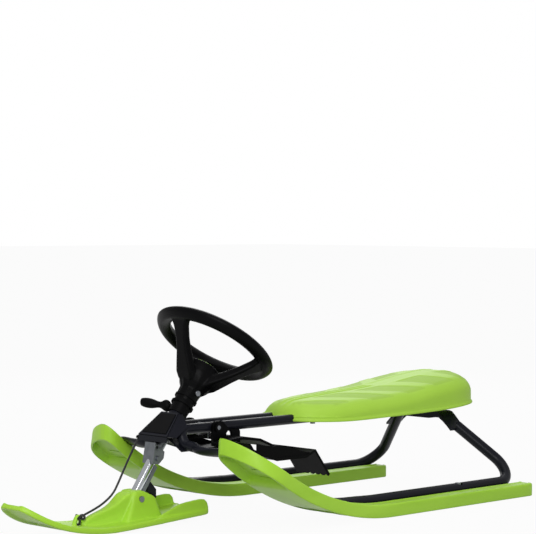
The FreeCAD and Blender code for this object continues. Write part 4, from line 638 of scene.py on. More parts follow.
def set_ring(verts, places):
    """Move a ring of vertices to its places, in millimetres."""
    for vert, point in zip(verts, places):
        vert.co = point * MM


def next_ring(bm, verts):
    """Extrude a closed ring of vertices once and give the new ring in the same order."""
    edges = [bm.edges.get((a, b)) for a, b in zip(verts, verts[1:] + verts[:1])]
    made = bmesh.ops.extrude_edge_only(bm, edges=edges)["geom"]
    new = {v for v in made if isinstance(v, bmesh.types.BMVert)}
    return [next(e.other_vert(v) for e in v.link_edges if e.other_vert(v) in new) for v in verts]


seat_bm = bmesh.new()
panel_layer = seat_bm.verts.layers.float.new("panel")
ring = bmesh.ops.create_circle(seat_bm, segments=SEAT_POINTS, radius=1)["verts"]
end_shares = [abs(math.cos(angle)) ** END_POWER for angle in seat_angles]
shoulder_reach = [SHOULDER_REACH + END_REACH * share for share in end_shares]
shoulder_drop = [SHOULDER_DROP + END_DROP * share for share in end_shares]
wall_foot = [rim_height(edge.x) + LIP_HEIGHT + WALL_FOOT for edge in rim]
for reach, height in LIP_RINGS:
    if height:
        ring = next_ring(seat_bm, ring)
    set_ring(ring, [edge + out * reach + Vector((0, 0, rim_height(edge.x) + height))
                    for edge, out in zip(rim, outward)])
for wall_share in (0, 0.5):
    ring = next_ring(seat_bm, ring)
    places = []
    for edge, foot, drop in zip(rim, wall_foot, shoulder_drop):
        top = max(crest_height(edge.x, edge.y) - drop, foot + LEAST_WALL)
        places.append(edge + Vector((0, 0, foot + (top - foot) * wall_share)))
    set_ring(ring, places)
for step in range(SHOULDER_RINGS + SEAT_TOP_RINGS + 1):
    ring = next_ring(seat_bm, ring)
    turn = min(1, step / SHOULDER_RINGS) * math.pi / 2
    past = max(0, step - SHOULDER_RINGS) / SEAT_TOP_RINGS
    for i, vert in enumerate(ring):
        inwards = middle[i] - rim[i]
        reach = shoulder_reach[i] * (1 - math.cos(turn)) + (inwards.length - shoulder_reach[i]) * past
        point = rim[i] + inwards.normalized() * reach
        vert[panel_layer], depth = seat_relief(point.x, point.y)
        top = crest_height(point.x, point.y) - shoulder_drop[i] * (1 - math.sin(turn))
        vert.co = Vector((point.x, point.y, max(top, wall_foot[i] + LEAST_WALL) - depth)) * MM
bmesh.ops.remove_doubles(seat_bm, verts=seat_bm.verts, dist=MERGE_DISTANCE * MM)
bmesh.ops.recalc_face_normals(seat_bm, faces=seat_bm.faces)
bmesh.ops.solidify(seat_bm, geom=seat_bm.faces[:], thickness=SEAT_WALL * MM)
seat = make_piece("seat_moulding", seat_bm, "frame", ["seat_shell"], smooth_angle=50)
print(dress(seat, seat_green))

# %% [markdown]
# ## Steering wheel
# The wheel is one black moulding: a rim with a ridge round its outside, three straight spokes that rise
# steeply from a cup-shaped hub, and a fluted neck that fits the column. Each form is made by itself in the
# wheel's own frame, with the column along Z. The rim comes first. A torus would be too round for it, so a
# section like a rounded diamond is drawn and spun round the column.

# %% Rim of the wheel
RIM_RADIUS, RIM_HEIGHT = 104.5, 132.6
RIM_HALF_WIDTH, RIM_HALF_DEPTH, RIM_TILT, RIM_POWER = 15.2, 12.6, 11.6, 1.5
RIM_SIDES, RIM_STEPS = 32, 160


def signed_power(value, power):
    """A power that keeps the sign, for rounded-diamond sections."""
    return math.copysign(abs(value) ** power, value)


wheel_bm = bmesh.new()
section = bmesh.ops.create_circle(wheel_bm, segments=RIM_SIDES, radius=1)["verts"]
section_tilt = Matrix.Rotation(math.radians(-RIM_TILT), 3, "Y")
section_places = []
for angle in turns(RIM_SIDES):
    across = RIM_HALF_WIDTH * signed_power(math.cos(angle), 2 / RIM_POWER)
    upward = RIM_HALF_DEPTH * signed_power(math.sin(angle), 2 / RIM_POWER)
    section_places.append(Vector((RIM_RADIUS, 0, RIM_HEIGHT)) + section_tilt @ Vector((across, 0, upward)))
set_ring(section, section_places)
section_edges = [wheel_bm.edges.get((a, b)) for a, b in zip(section, section[1:] + section[:1])]
bmesh.ops.spin(wheel_bm, geom=section + section_edges, cent=(0, 0, 0), axis=(0, 0, 1),
               angle=2 * math.pi, steps=RIM_STEPS, use_merge=True)
print("rim", len(wheel_bm.faces), "faces")

# %% [markdown]
# ### Spokes
# A spoke is a flat bar that is broad where it meets the hub and the rim and narrows between them. A box with
# moved corners could not do that in one go, so rounded sections are set along a straight line and skinned.
# The same line is turned to three places. Rim and spokes then lean a little against the column, as on the
# real wheel.

# %% Spokes
SPOKE_ROOT, SPOKE_END, SPOKE_ROUND, SPOKE_COUNT = Vector((26, 0, 49)), Vector((104, 0, 131)), 4, 3
SPOKE_SECTIONS = ((-0.16, 14, 5), (-0.06, 36, 13), (0.06, 40, 17), (0.2, 35, 17), (0.4, 28, 16),
                  (0.6, 26, 15), (0.8, 31, 14), (0.92, 42, 13), (1, 56, 13))
RIM_LEAN, LEAN_HEIGHT = 3.2, 13


def loft(bm, rings):
    """A closed skin through rings of points in millimetres, with flat ends."""
    ring = bmesh.ops.create_circle(bm, cap_ends=True, segments=len(rings[0]), radius=1)["verts"]
    set_ring(ring, rings[0])
    for places in rings[1:]:
        ring = next_ring(bm, ring)
        set_ring(ring, places)
    bm.faces.new(ring)


def rounded(corners):
    """A closed outline through corners (across, up, radius), each rounded where it has a radius."""
    points = []
    for index, (across, up, radius) in enumerate(corners):
        here = Vector((across, up))
        if not radius:
            points.append(here)
            continue
        before = Vector(corners[index - 1][:2]) - here
        after = Vector(corners[(index + 1) % len(corners)][:2]) - here
        start = here + before.normalized() * min(radius, before.length / 2)
        end = here + after.normalized() * min(radius, after.length / 2)
        for share in (0, 1 / 3, 2 / 3, 1):
            points.append(start * (1 - share) ** 2 + here * 2 * share * (1 - share) + end * share ** 2)
    return points


def rounded_box(low, high, half, radius):
    """A rounded outline from low to high one way and half to each side the other way."""
    return rounded([(low, -half, radius), (high, -half, radius), (high, half, radius), (low, half, radius)])


def turned_about(point, degrees):
    """A turn about the Y axis through a point in millimetres."""
    centre = mm(*point)
    return (Matrix.Translation(centre) @ Matrix.Rotation(math.radians(degrees), 4, "Y")
            @ Matrix.Translation(-centre))


spoke_run = SPOKE_END - SPOKE_ROOT
spoke_top = Vector((-spoke_run.z, 0, spoke_run.x)).normalized()
for angle in turns(SPOKE_COUNT):
    round_hub = Matrix.Rotation(angle, 3, "Z")
    spoke_rings = []
    for share, width, thickness in SPOKE_SECTIONS:
        centre = SPOKE_ROOT + spoke_run * share
        spoke_rings.append([
            round_hub @ (centre + Vector((0, y, 0)) + spoke_top * z)
            for y, z in rounded_box(-width / 2, width / 2, thickness / 2, SPOKE_ROUND)])
    loft(wheel_bm, spoke_rings)
bmesh.ops.transform(wheel_bm, matrix=turned_about((0, 0, LEAN_HEIGHT), RIM_LEAN), verts=wheel_bm.verts)
print("rim and spokes", len(wheel_bm.faces), "faces")

# %% [markdown]
# ### Hub, and one skin over all
# The hub is turned like a vase, with flutes in its neck, so its rings are circles with a small wave. The
# forms still overlap where they meet. A boolean would leave hard seams there, so one skin is grown over all
# of them from small cubes and smoothed, which rounds the inner corners as a mould does.

# %% Hub and skin of the wheel
WHEEL_FOOT, WHEEL_RAKE = mm(175.7, 0, 212.9), 39
HUB_PROFILE = ((19, 2), (20.5, 14), (21, 28), (22.5, 31), (26, 35), (29, 40), (31.5, 46), (33.5, 52),
               (35, 60), (35.5, 70), (35.5, 78), (34.5, 81), (31.8, 81), (31, 77.2), (12, 77.2))
HUB_POINTS, FLUTE_COUNT, FLUTE_DEPTH = 96, 12, 0.7
FLUTE_LOW_END, FLUTE_HIGH_END = (14, 20), (56, 46)
SKIN_VOXEL, WHEEL_SMOOTHING = 1.5, 5


def fuse(piece, voxel, rounds):
    """Grow one moulded skin over a piece's overlapping forms, and soften it."""
    skin = piece.modifiers.new("one_skin", "REMESH")
    skin.mode = "VOXEL"
    skin.voxel_size = voxel * MM
    soft = piece.modifiers.new("soft_skin", "SMOOTH")
    soft.factor = 0.5
    soft.iterations = rounds
    grown = bpy.data.meshes.new_from_object(piece.evaluated_get(bpy.context.evaluated_depsgraph_get()))
    piece.modifiers.clear()
    piece.data = grown
    grown.shade_smooth()


hub_rings = []
for radius, height in HUB_PROFILE:
    flute = FLUTE_DEPTH * between(*FLUTE_LOW_END, height) * between(*FLUTE_HIGH_END, height)
    places = []
    for angle in turns(HUB_POINTS):
        reach = radius + flute * math.cos(FLUTE_COUNT * angle)
        places.append(Vector((reach * math.cos(angle), reach * math.sin(angle), height)))
    hub_rings.append(places)
loft(wheel_bm, hub_rings)
in_column = Matrix.Translation(WHEEL_FOOT) @ Matrix.Rotation(math.radians(-WHEEL_RAKE), 4, "Y")
bmesh.ops.transform(wheel_bm, matrix=in_column, verts=wheel_bm.verts)
bmesh.ops.recalc_face_normals(wheel_bm, faces=wheel_bm.faces)
wheel = make_piece("wheel_moulding", wheel_bm, "steering", ["steering_wheel"])
fuse(wheel, SKIN_VOXEL, WHEEL_SMOOTHING)
print(dress(wheel, wheel_black))

# %% [markdown]
# ### Hub bolt
# A bolt through the wheel's neck pins the wheel to the column, with a round head on the left and a nut on
# the right. Head, shank and nut share one axis across the sled. They could be one turned outline, but the
# nut has six sides, so each is a cylinder with its own count of sides, and a bevel rounds the rims.

# %% Hub bolt
HUB_BOLT_HEIGHT, NECK_RADIUS, HEAD_HEIGHT, THREAD_END, RIM_ROUND = 25, 20.5, 4.5, 0.5, 0.9
HEAD_END = NECK_RADIUS + HEAD_HEIGHT
HUB_BOLT_FORMS = ((6, 24, -HEAD_END - THREAD_END, NECK_RADIUS), (11, 32, NECK_RADIUS, HEAD_END),
                  (11.5, 6, -HEAD_END, -NECK_RADIUS))
SHARP_EDGE = math.radians(75)
bolt_bm = bmesh.new()
for diameter, sides, start, end in HUB_BOLT_FORMS:
    across = (Matrix.Translation(mm(0, (start + end) / 2, HUB_BOLT_HEIGHT))
              @ Matrix.Rotation(math.radians(-90), 4, "X"))
    bmesh.ops.create_cone(bolt_bm, cap_ends=True, segments=sides, radius1=diameter / 2 * MM,
                          radius2=diameter / 2 * MM, depth=(end - start) * MM, matrix=in_column @ across)
    rims = [edge for edge in bolt_bm.edges if edge.calc_face_angle(0) > SHARP_EDGE]
    bmesh.ops.bevel(bolt_bm, geom=rims, offset=RIM_ROUND * MM, segments=3, profile=0.5, affect="EDGES",
                    material=-1)
bmesh.ops.recalc_face_normals(bolt_bm, faces=bolt_bm.faces)
cross_bolt = make_piece("hub_cross_bolt", bolt_bm, "steering", ["hub_bolt", "hub_nut"])
print(dress(cross_bolt, zinc))

# %% [markdown]
# ## Rear skis
# A rear ski is a long moulding with a flat sole that turns up at the front. Its sole is a line of three
# stretches: straight, an arc, and a wider arc at the tip. A point of the ski is best given by the way along
# that line and the height square to it, because then the thickness stays right in the bend. The second
# function goes back, from a place seen from above to the way along, by halving.

# %% Runner of a ski
Runner = namedtuple("Runner", "bend_x bend_radius tip_angle tip_radius")
SKI_RUNNER, TIP_END = Runner(-130, 550, 33, 420), 396
RUNNER_REACH, HALVINGS = (-600, 420), 40


def on_runner(runner, along, height):
    """A point over a ski's sole: a way along it from the start of its bend, and a height square to it."""
    end_turn = math.radians(runner.tip_angle)
    turn = min(max(along / runner.bend_radius, 0), end_turn)
    past = max(along - runner.bend_radius * end_turn, 0)
    x = runner.bend_x + runner.bend_radius * math.sin(turn) + min(along, 0)
    z = runner.bend_radius - runner.bend_radius * math.cos(turn)
    if past:
        turn = end_turn + past / runner.tip_radius
        x += runner.tip_radius * (math.sin(turn) - math.sin(end_turn))
        z += runner.tip_radius * (math.cos(end_turn) - math.cos(turn))
    return x - height * math.sin(turn), z + height * math.cos(turn)


def along_runner(runner, x, height):
    """The way along a ski's sole at which a height over it has a place X."""
    low, high = RUNNER_REACH
    for halving in range(HALVINGS):
        centre = (low + high) / 2
        if on_runner(runner, centre, height)[0] < x:
            low = centre
        else:
            high = centre
    return low


print("a rear ski's sole rises", round(on_runner(SKI_RUNNER, TIP_END, 0)[1]), "mm to its tip")

# %% [markdown]
# ### Section and outline of a rear ski
# Two raised strips run beside the channel that takes the rail, each with a sunk field, and the sole is
# hollow between its walls. That is one closed section. Its points take their side place from the ski's
# outline seen from above, a curve for the outer edge and one for the inner edge, so the same section gives
# the straight run, the round corners at the back and the slanted tip. Under the tip there is a sunk field
# in the form of a lens.

# %% Section and outline of a rear ski
SKI_HALF_WIDTH, SKI_THICKNESS, SKI_FOOT_ROUND = 54.5, 25, 3
OUTER_EDGE = ((-550, 242.5), (-549, 246.4), (-547, 248.9), (-544, 250.9), (-540, 252), (-500, 252),
              (120, 252), (160, 252), (172, 251), (184, 247.5), (194, 241.5), (203, 233.5), (211, 223.5),
              (218, 211), (224, 196), (228, 183), (231, 171), (232, 164))
INNER_EDGE = ((-550, 152.5), (-549, 148.6), (-547, 146.1), (-544, 144.1), (-540, 143), (-500, 143),
              (120, 143), (200, 143), (213, 143.2), (220, 145.2), (226, 149.4), (230, 155.5), (232, 162))
# place across, depth under the top, round
STRIP_CORNERS = ((54.5, 0, 5), (48, 0, 0.8), (47, 0.9, 0.8), (26, 0.9, 0.8), (25, 0, 0.8), (19.4, 0, 2))
CHANNEL_FOOT, CHANNEL_ROUND = 18.6, 2
# place across, ceiling of the hollow
SOLE_PLACES = ((50.5, 0), (50.2, 21), (46, 21), (42, 21), (38, 21), (34, 21), (30, 21), (26.5, 21),
               (23.3, 21), (23, 0), (19, 0), (18.7, 10), (15, 10), (11, 10), (7, 10), (3.5, 10), (0, 10))
TIP_SLANT, TIP_THINNING = 0.8, 0.14
LENS_DEPTH, LENS_MARGIN, LENS_EDGE, LENS_START_X, LENS_END_X, LENS_TAPER = 15, 6, 3.5, 152, 227, 0.45
SOLE_SKIN = 1


def ski_section(floor, hollow):
    """The rear ski's section as places across and heights: strips, channel and hollow sole."""
    sole = [(-y, ceiling * hollow, 0) for y, ceiling in SOLE_PLACES]
    sole += [(y, ceiling * hollow, 0) for y, ceiling in SOLE_PLACES[-2::-1]]
    left = [(y, SKI_THICKNESS - depth, radius) for y, depth, radius in STRIP_CORNERS]
    left.append((CHANNEL_FOOT, floor, CHANNEL_ROUND))
    right = [(-y, height, radius) for y, height, radius in reversed(left)]
    return rounded([(-SKI_HALF_WIDTH, 0, SKI_FOOT_ROUND), *sole, (SKI_HALF_WIDTH, 0, SKI_FOOT_ROUND),
                    *left, *right])


def ski_point(side, along, across, height):
    """A point of a rear ski, with its side place taken from the outline seen from above."""
    bend_end = SKI_RUNNER.bend_radius * math.radians(SKI_RUNNER.tip_angle)
    tip_share = between(bend_end, TIP_END, along)
    plan_x = on_runner(SKI_RUNNER, along, 0)[0]
    inner, outer = curve_through(INNER_EDGE, plan_x), curve_through(OUTER_EDGE, plan_x)
    y = inner + (outer - inner) * (across + SKI_HALF_WIDTH) / (2 * SKI_HALF_WIDTH)
    if height < SOLE_SKIN:
        from_edge = min(outer - y, y - inner) - LENS_MARGIN
        from_edge = min(from_edge, (plan_x - LENS_START_X) * LENS_TAPER, LENS_END_X - plan_x)
        height += LENS_DEPTH * between(0, LENS_EDGE, from_edge)
    x, z = on_runner(SKI_RUNNER, along + TIP_SLANT * height * tip_share,
                     height * (1 - TIP_THINNING * tip_share))
    return Vector((x, side * y, z))


print("a rear ski's section has", len(ski_section(0, 1)), "points")

# %% [markdown]
# ### Ribs and dashes of a rear ski
# Near the tip, slanted ribs cross the sunk fields, and short dashes stand along both sides of the channel to
# grip a boot. They are low ridges on the curved top. Bump in the material would vanish in the outline, so
# each is a small bar whose ends and corners are set on the runner.

# %% Ribs and dashes of a rear ski
CROSS_RIBS = (((145, 245), (157, 224)), ((78, 245), (90, 224)), ((37, 245), (49, 224)),
              ((-6, 245), (6, 224)), ((132, 151), (121, 172)), ((89, 151), (79, 172)),
              ((46, 151), (36, 172)))
DASH_START_X, DASH_LENGTH, DASH_STEP, DASH_COUNT, DASH_SIDES = -13, 4, 8.6, 16, (176, 219)
RIDGE_HALF, RIDGE_TOP_SHARE, RIDGE_ROOT, RIDGE_END_SHARE = 1.3, 0.6, 1.5, 0.3
RIDGE_SHARES = (0, 0.06, 0.35, 0.65, 0.94, 1)
RIB_GROUND, RIB_RISE, DASH_RISE = 24.1, 1.5, 1.0


def ridge_rings(side, start, end, rise, ground):
    """Rings of a low ridge on a rear ski's top, from a start to an end seen from above."""
    across = Vector((end[1] - start[1], start[0] - end[0])).normalized() * RIDGE_HALF
    rings = []
    for share in RIDGE_SHARES:
        centre = Vector(start).lerp(Vector(end), share)
        top = ground + rise * (RIDGE_END_SHARE if share in (0, 1) else 1)
        root = ground - RIDGE_ROOT
        corners = []
        for shift, height in ((-1, root), (1, root), (RIDGE_TOP_SHARE, top), (-RIDGE_TOP_SHARE, top)):
            place = centre + across * shift
            x, z = on_runner(SKI_RUNNER, along_runner(SKI_RUNNER, place.x, height), height)
            corners.append(Vector((x, side * place.y, z)))
        rings.append(corners)
    return rings


ridges = [(start, end, RIB_RISE, RIB_GROUND) for start, end in CROSS_RIBS]
for step in range(DASH_COUNT):
    dash_x = DASH_START_X + DASH_STEP * step
    ridges += [((dash_x, y), (dash_x + DASH_LENGTH, y), DASH_RISE, SKI_THICKNESS) for y in DASH_SIDES]
print("a rear ski has", len(ridges), "ridges")

# %% [markdown]
# ### The two rear skis
# The section is drawn along the runner from station to station. Stations are close where something begins
# or ends: the back wall, the hollow's front wall and the tip. The right ski is made by the same loop with
# its side turned round, which keeps both skis as separate pieces.

# %% The two rear skis
CHANNEL_FLOOR, CHANNEL_END, CHANNEL_WALL_SLOPE, CHANNEL_LEAST_DEPTH = 14, 332, 1, 0.2
HOLLOW_START, HOLLOW_END, HOLLOW_WALL_SLOPE = -416, 172.7, 0.2
SKI_STATIONS = [-420, -419.2, -417.5, -416.2, -415.8, -413, -410, *range(-390, 0, 20), *range(0, 169, 8),
                172.5, 172.9, *range(180, 300, 8), *(300 + 2.5 * step for step in range(38)), 394.5, TIP_END]
channel_rise = SKI_THICKNESS - CHANNEL_LEAST_DEPTH - CHANNEL_FLOOR
for name, side in (("left", 1), ("right", -1)):
    ski_bm = bmesh.new()
    ski_rings = []
    for along in SKI_STATIONS:
        hollow = between(HOLLOW_START - HOLLOW_WALL_SLOPE, HOLLOW_START + HOLLOW_WALL_SLOPE, along)
        hollow *= between(HOLLOW_END + HOLLOW_WALL_SLOPE, HOLLOW_END - HOLLOW_WALL_SLOPE, along)
        filled = between(CHANNEL_END - CHANNEL_WALL_SLOPE, CHANNEL_END + CHANNEL_WALL_SLOPE, along)
        floor = CHANNEL_FLOOR + channel_rise * filled
        ski_rings.append([ski_point(side, along, across, height)
                          for across, height in ski_section(floor, hollow)])
    loft(ski_bm, ski_rings)
    for start, end, rise, ground in ridges:
        loft(ski_bm, ridge_rings(side, start, end, rise, ground))
    bmesh.ops.recalc_face_normals(ski_bm, faces=ski_bm.faces)
    ski = make_piece("ski_moulding_" + name, ski_bm, "frame", ["rear_ski_" + name])
    print(dress(ski, ski_green))

# %% [markdown]
# ## Front ski
# The front ski is a flat deck with a raised border and a turned-up tip, and it carries the steering leg in a
# tower. All of it is one moulding, so the forms may overlap freely and one skin is grown over them in the
# end, as for the wheel. The deck is made as the rear skis are, by a section along a runner, with half its
# width as a curve.

# %% Deck of the front ski
FRONT_RUNNER = Runner(364, 420, 17, 230)
DECK_HALF = ((151, 40), (153, 45), (158, 50), (166, 52.5), (220, 55), (305, 59), (450, 59), (495, 58.8),
             (515, 56.5), (535, 51.2), (551, 44.6), (558, 40), (564, 34.5), (568, 28.5), (571, 20),
             (572, 12))
# inset from the edge, height, round
DECK_BORDER = ((0, 10.5, 3.5), (6, 10.5, 1.5), (8, 9, 1.5))
DECK_FOOT_ROUND = 2.5
SOLE_SHARES = (-0.85, -0.7, -0.55, -0.4, -0.2, 0, 0.2, 0.4, 0.55, 0.7, 0.85)
TIP_LENS_DEPTH, TIP_LENS_MARGIN, TIP_LENS_EDGE = 5, 9, 4
TIP_LENS_START_X, TIP_LENS_END_X, TIP_LENS_TAPER = 478, 564, 0.5
DECK_STATIONS = (-213, -212, -210, -206, -200, *range(-190, 60, 10), *range(60, 205, 4),
                 206, 210, 214, 217, 219)


def deck_ring(along):
    """The front ski's deck at a place along its sole, with a raised border and a sunk lens under the tip."""
    half = curve_through(DECK_HALF, on_runner(FRONT_RUNNER, along, 0)[0])
    sole = [(half * share, 0, 0) for share in SOLE_SHARES]
    left = [(half - inset, height, radius) for inset, height, radius in DECK_BORDER]
    right = [(-y, height, radius) for y, height, radius in reversed(left)]
    outline = rounded([(-half, 0, DECK_FOOT_ROUND), *sole, (half, 0, DECK_FOOT_ROUND), *left, *right])
    places = []
    for y, height in outline:
        x, z = on_runner(FRONT_RUNNER, along, height)
        if height < SOLE_SKIN:
            from_edge = min(half - abs(y) - TIP_LENS_MARGIN, (x - TIP_LENS_START_X) * TIP_LENS_TAPER,
                            TIP_LENS_END_X - x)
            sunk = height + TIP_LENS_DEPTH * between(0, TIP_LENS_EDGE, from_edge)
            x, z = on_runner(FRONT_RUNNER, along, sunk)
        places.append(Vector((x, y, z)))
    return places


front_bm = bmesh.new()
loft(front_bm, [deck_ring(along) for along in DECK_STATIONS])
print("deck", len(front_bm.faces), "faces")

# %% [markdown]
# ### Tower, spine and fins
# The tower holds the leg and leans back, a spine falls away from it to the tow loop, and two fins stand at
# the rear to keep the ski straight. Tower and spine change their section as they go, so they are skins
# through rings: level ones for the tower and upright ones for the spine. A fin is an outline in the side
# view, thickened, with slightly smaller faces so that its edges come out soft.

# %% Tower, spine and fins
# height, rear X, front X, half width
TOWER_RINGS = ((5, 246, 342, 35), (11, 251, 336, 32), (18, 253, 331, 30), (30, 255, 323, 27),
               (42, 258, 316, 24.5), (47, 264, 314, 23.5), (53, 275, 311, 22), (57, 283, 308, 20.5),
               (59, 287, 306, 18.5))
TOWER_ROUND = 8
# X, top, half width
SPINE_RINGS = ((296, 56, 17), (314, 57, 17), (322, 54.5, 16), (331, 49, 14.5), (343, 41.5, 12.5),
               (354, 37, 11), (366, 33.5, 9.5), (380, 30.5, 8.5), (395, 27, 7.5), (408, 22, 6.5),
               (416, 14, 5.5))
SPINE_FOOT, SPINE_FOOT_REACH, SPINE_WAIST_REACH, SPINE_WAIST_SHARE, SPINE_ROUND = 4, 5, 1, 0.6, 5
FIN_SIDE = ((290, 8), (262, 17), (224, 28), (206, 29.6), (176, 30.5), (164, 28.5), (158, 22),
            (155.5, 12), (155.5, 4), (284, 4))
FIN_Y, FIN_HALF, FIN_EDGE, FIN_FACE_SHARE = 47.5, 2.8, 1, 0.97
FIN_CENTRE_X, FIN_CENTRE_Z = 222, 10
loft(front_bm, [
    [Vector((x, y, height)) for x, y in rounded_box(rear, front, half, TOWER_ROUND)]
    for height, rear, front, half in TOWER_RINGS])
spine_rings = []
for x, top, half in SPINE_RINGS:
    foot, waist, waist_z = half + SPINE_FOOT_REACH, half + SPINE_WAIST_REACH, top * SPINE_WAIST_SHARE
    outline = rounded([(-foot, SPINE_FOOT, 0), (foot, SPINE_FOOT, 0), (waist, waist_z, 0),
                       (half, top, SPINE_ROUND), (-half, top, SPINE_ROUND), (-waist, waist_z, 0)])
    spine_rings.append([Vector((x, y, z)) for y, z in outline])
loft(front_bm, spine_rings)
fin_layers = ((-FIN_HALF, FIN_FACE_SHARE), (FIN_EDGE - FIN_HALF, 1), (FIN_HALF - FIN_EDGE, 1),
              (FIN_HALF, FIN_FACE_SHARE))
for side in (1, -1):
    loft(front_bm, [
        [Vector((FIN_CENTRE_X + (x - FIN_CENTRE_X) * share, side * FIN_Y + shift,
                 FIN_CENTRE_Z + (z - FIN_CENTRE_Z) * share)) for x, z in FIN_SIDE]
        for shift, share in fin_layers])
print("deck, tower, spine and fins", len(front_bm.faces), "faces")

# %% [markdown]
# ### Tow loop, and one skin over all
# The cord is tied to an arch at the foot of the spine: a round bar bent over half a turn. Rings set along
# that half turn make it. Then the whole ski is pitched by the small angle at which it stands on the ground,
# and the skin is grown.

# %% Tow loop and skin of the front ski
LOOP_X, LOOP_FOOT, LOOP_HALF, LOOP_RISE = 422, 8, 9.5, 21
LOOP_BAR_HALF, LOOP_BAR_HALF_WIDTH, LOOP_STEPS, LOOP_SIDES = 4, 4.5, 16, 12
FRONT_PITCH, PITCH_X, FRONT_SMOOTHING = 2.5, 440, 4
loop_rings = []
for step in range(LOOP_STEPS + 1):
    turn = math.pi * step / LOOP_STEPS
    centre = Vector((LOOP_X - LOOP_HALF * math.cos(turn), 0, LOOP_FOOT + LOOP_RISE * math.sin(turn)))
    outwards = Vector((-math.cos(turn), 0, math.sin(turn)))
    loop_rings.append([
        centre + outwards * LOOP_BAR_HALF * math.cos(angle)
        + Vector((0, LOOP_BAR_HALF_WIDTH * math.sin(angle), 0)) for angle in turns(LOOP_SIDES)])
loft(front_bm, loop_rings)
bmesh.ops.transform(front_bm, matrix=turned_about((PITCH_X, 0, 0), FRONT_PITCH), verts=front_bm.verts)
bmesh.ops.recalc_face_normals(front_bm, faces=front_bm.faces)
front_moulding = make_piece("front_ski_moulding", front_bm, "steering", ["front_ski"])
fuse(front_moulding, SKIN_VOXEL, FRONT_SMOOTHING)
print(dress(front_moulding, ski_green))

# %% [markdown]
# ## Brake spring
# A torsion spring on the brake's rod holds the pedal up. It is a wire wound in a coil with two straight
# arms. A screw modifier would make the coil but not its arms in one line, so the points of a helix are
# worked out, eight to the turn, and the bevel of the curve gives the wire.

# %% Brake spring
SPRING_CENTRE = mm(128, -9.8, 169)
SPRING_RADIUS, SPRING_WIRE, SPRING_PITCH, SPRING_TURNS, POINTS_PER_TURN = 5.6, 2, 2.8, 7.5, 8
SPRING_SHORT_ARM, SPRING_LONG_ARM = 12, 24
spring_points = [SPRING_CENTRE + mm(SPRING_RADIUS, 0, -SPRING_SHORT_ARM)]
for step in range(int(SPRING_TURNS * POINTS_PER_TURN) + 1):
    turn = 2 * math.pi * step / POINTS_PER_TURN
    spring_points.append(SPRING_CENTRE + mm(
        SPRING_RADIUS * math.cos(turn), SPRING_PITCH * step / POINTS_PER_TURN,
        SPRING_RADIUS * math.sin(turn)))
spring_points.append(spring_points[-1] + mm(0, 0, -SPRING_LONG_ARM))
spring_line = spline_object("spring_line", spring_points, SPRING_WIRE)
spring_bm = bmesh.new()
spring_bm.from_mesh(bpy.data.meshes.new_from_object(spring_line))
spring = make_piece("brake_spring_wire", spring_bm, "brake", ["brake_spring"])
print(dress(spring, zinc))

# %% [markdown]
# ## Console
# The console is one folded sheet in front of the head tube: a sloping face that is narrow at the top, a lip
# along its lower edge and two cheeks that fold back to the tubes. A box would be too heavy for folded sheet,
# so each side is a flat polygon in the column's frame that gets the thickness of the sheet.

# %% Console
# reach in front of the column, half width, height along the column
FACE_TOP, FACE_LOW, LIP_LOW = (14.8, 23, -31), (23, 39, -88), (17, 39, -96)
CHEEK_BACK, CHEEK_LOW = (-7, 38, -44), (6, 41, -78)
SHEET = 2


def mirrored_pair(corner):
    """A corner of the console on the left and on the right."""
    reach, half, height = corner
    return (reach, half, height), (reach, -half, height)


def add_sheet(bm, corners, thickness):
    """A flat sheet through corners in the column's frame, with a thickness."""
    face = bm.faces.new([bm.verts.new(in_column @ mm(*corner)) for corner in corners])
    bm.normal_update()
    bmesh.ops.solidify(bm, geom=[face], thickness=thickness * MM)


face_left, face_right = mirrored_pair(FACE_TOP)
low_left, low_right = mirrored_pair(FACE_LOW)
lip_left, lip_right = mirrored_pair(LIP_LOW)
back_left, back_right = mirrored_pair(CHEEK_BACK)
under_left, under_right = mirrored_pair(CHEEK_LOW)
console_bm = bmesh.new()
for corners in ((face_left, low_left, low_right, face_right), (low_left, lip_left, lip_right, low_right),
                (face_left, back_left, under_left, low_left),
                (face_right, low_right, under_right, back_right)):
    add_sheet(console_bm, corners, SHEET)
bmesh.ops.recalc_face_normals(console_bm, faces=console_bm.faces)
console = make_piece("console_sheet", console_bm, "frame", ["steering_console"])
print(dress(console, frame_coat))

# %% [markdown]
# ### Console plate
# A smooth black plate lies on the console's face. It could be a patch of another material on the sheet, but
# a real plate has an edge that catches light, so it is a thin sheet of its own, lifted off the face along
# the face's own direction and set in from its borders.

# %% Console plate
PLATE_LIFT, PLATE_THICKNESS = 1.9, 1.4
# share of the way down the face, margin to its side
PLATE_TOP, PLATE_LOW = (0.08, 3.5), (0.90, 5)
face_fall = Vector(FACE_LOW) - Vector(FACE_TOP)
face_direction = Vector((-face_fall.z, 0, face_fall.x)).normalized()
plate_corners = []
for (share, margin), side in ((PLATE_TOP, 1), (PLATE_LOW, 1), (PLATE_LOW, -1), (PLATE_TOP, -1)):
    reach, half, height = Vector(FACE_TOP).lerp(Vector(FACE_LOW), share)
    plate_corners.append(Vector((reach, side * (half - margin), height)) + face_direction * PLATE_LIFT)
plate_bm = bmesh.new()
add_sheet(plate_bm, plate_corners, PLATE_THICKNESS)
bmesh.ops.recalc_face_normals(plate_bm, faces=plate_bm.faces)
bare_plate = make_piece("console_bare_plate", plate_bm, "frame", ["console_plate"])
print(dress(bare_plate, label_black))

# %% [markdown]
# ## Rear bridge
# An arched channel joins the two rails under the back of the seat. Its flanges are deepest in the middle and
# run out to nothing where the strip bends down to the tubes. It is a C-shaped section drawn across the sled,
# because a bent box would keep the same flange all the way. Its top is that of the CAD node.

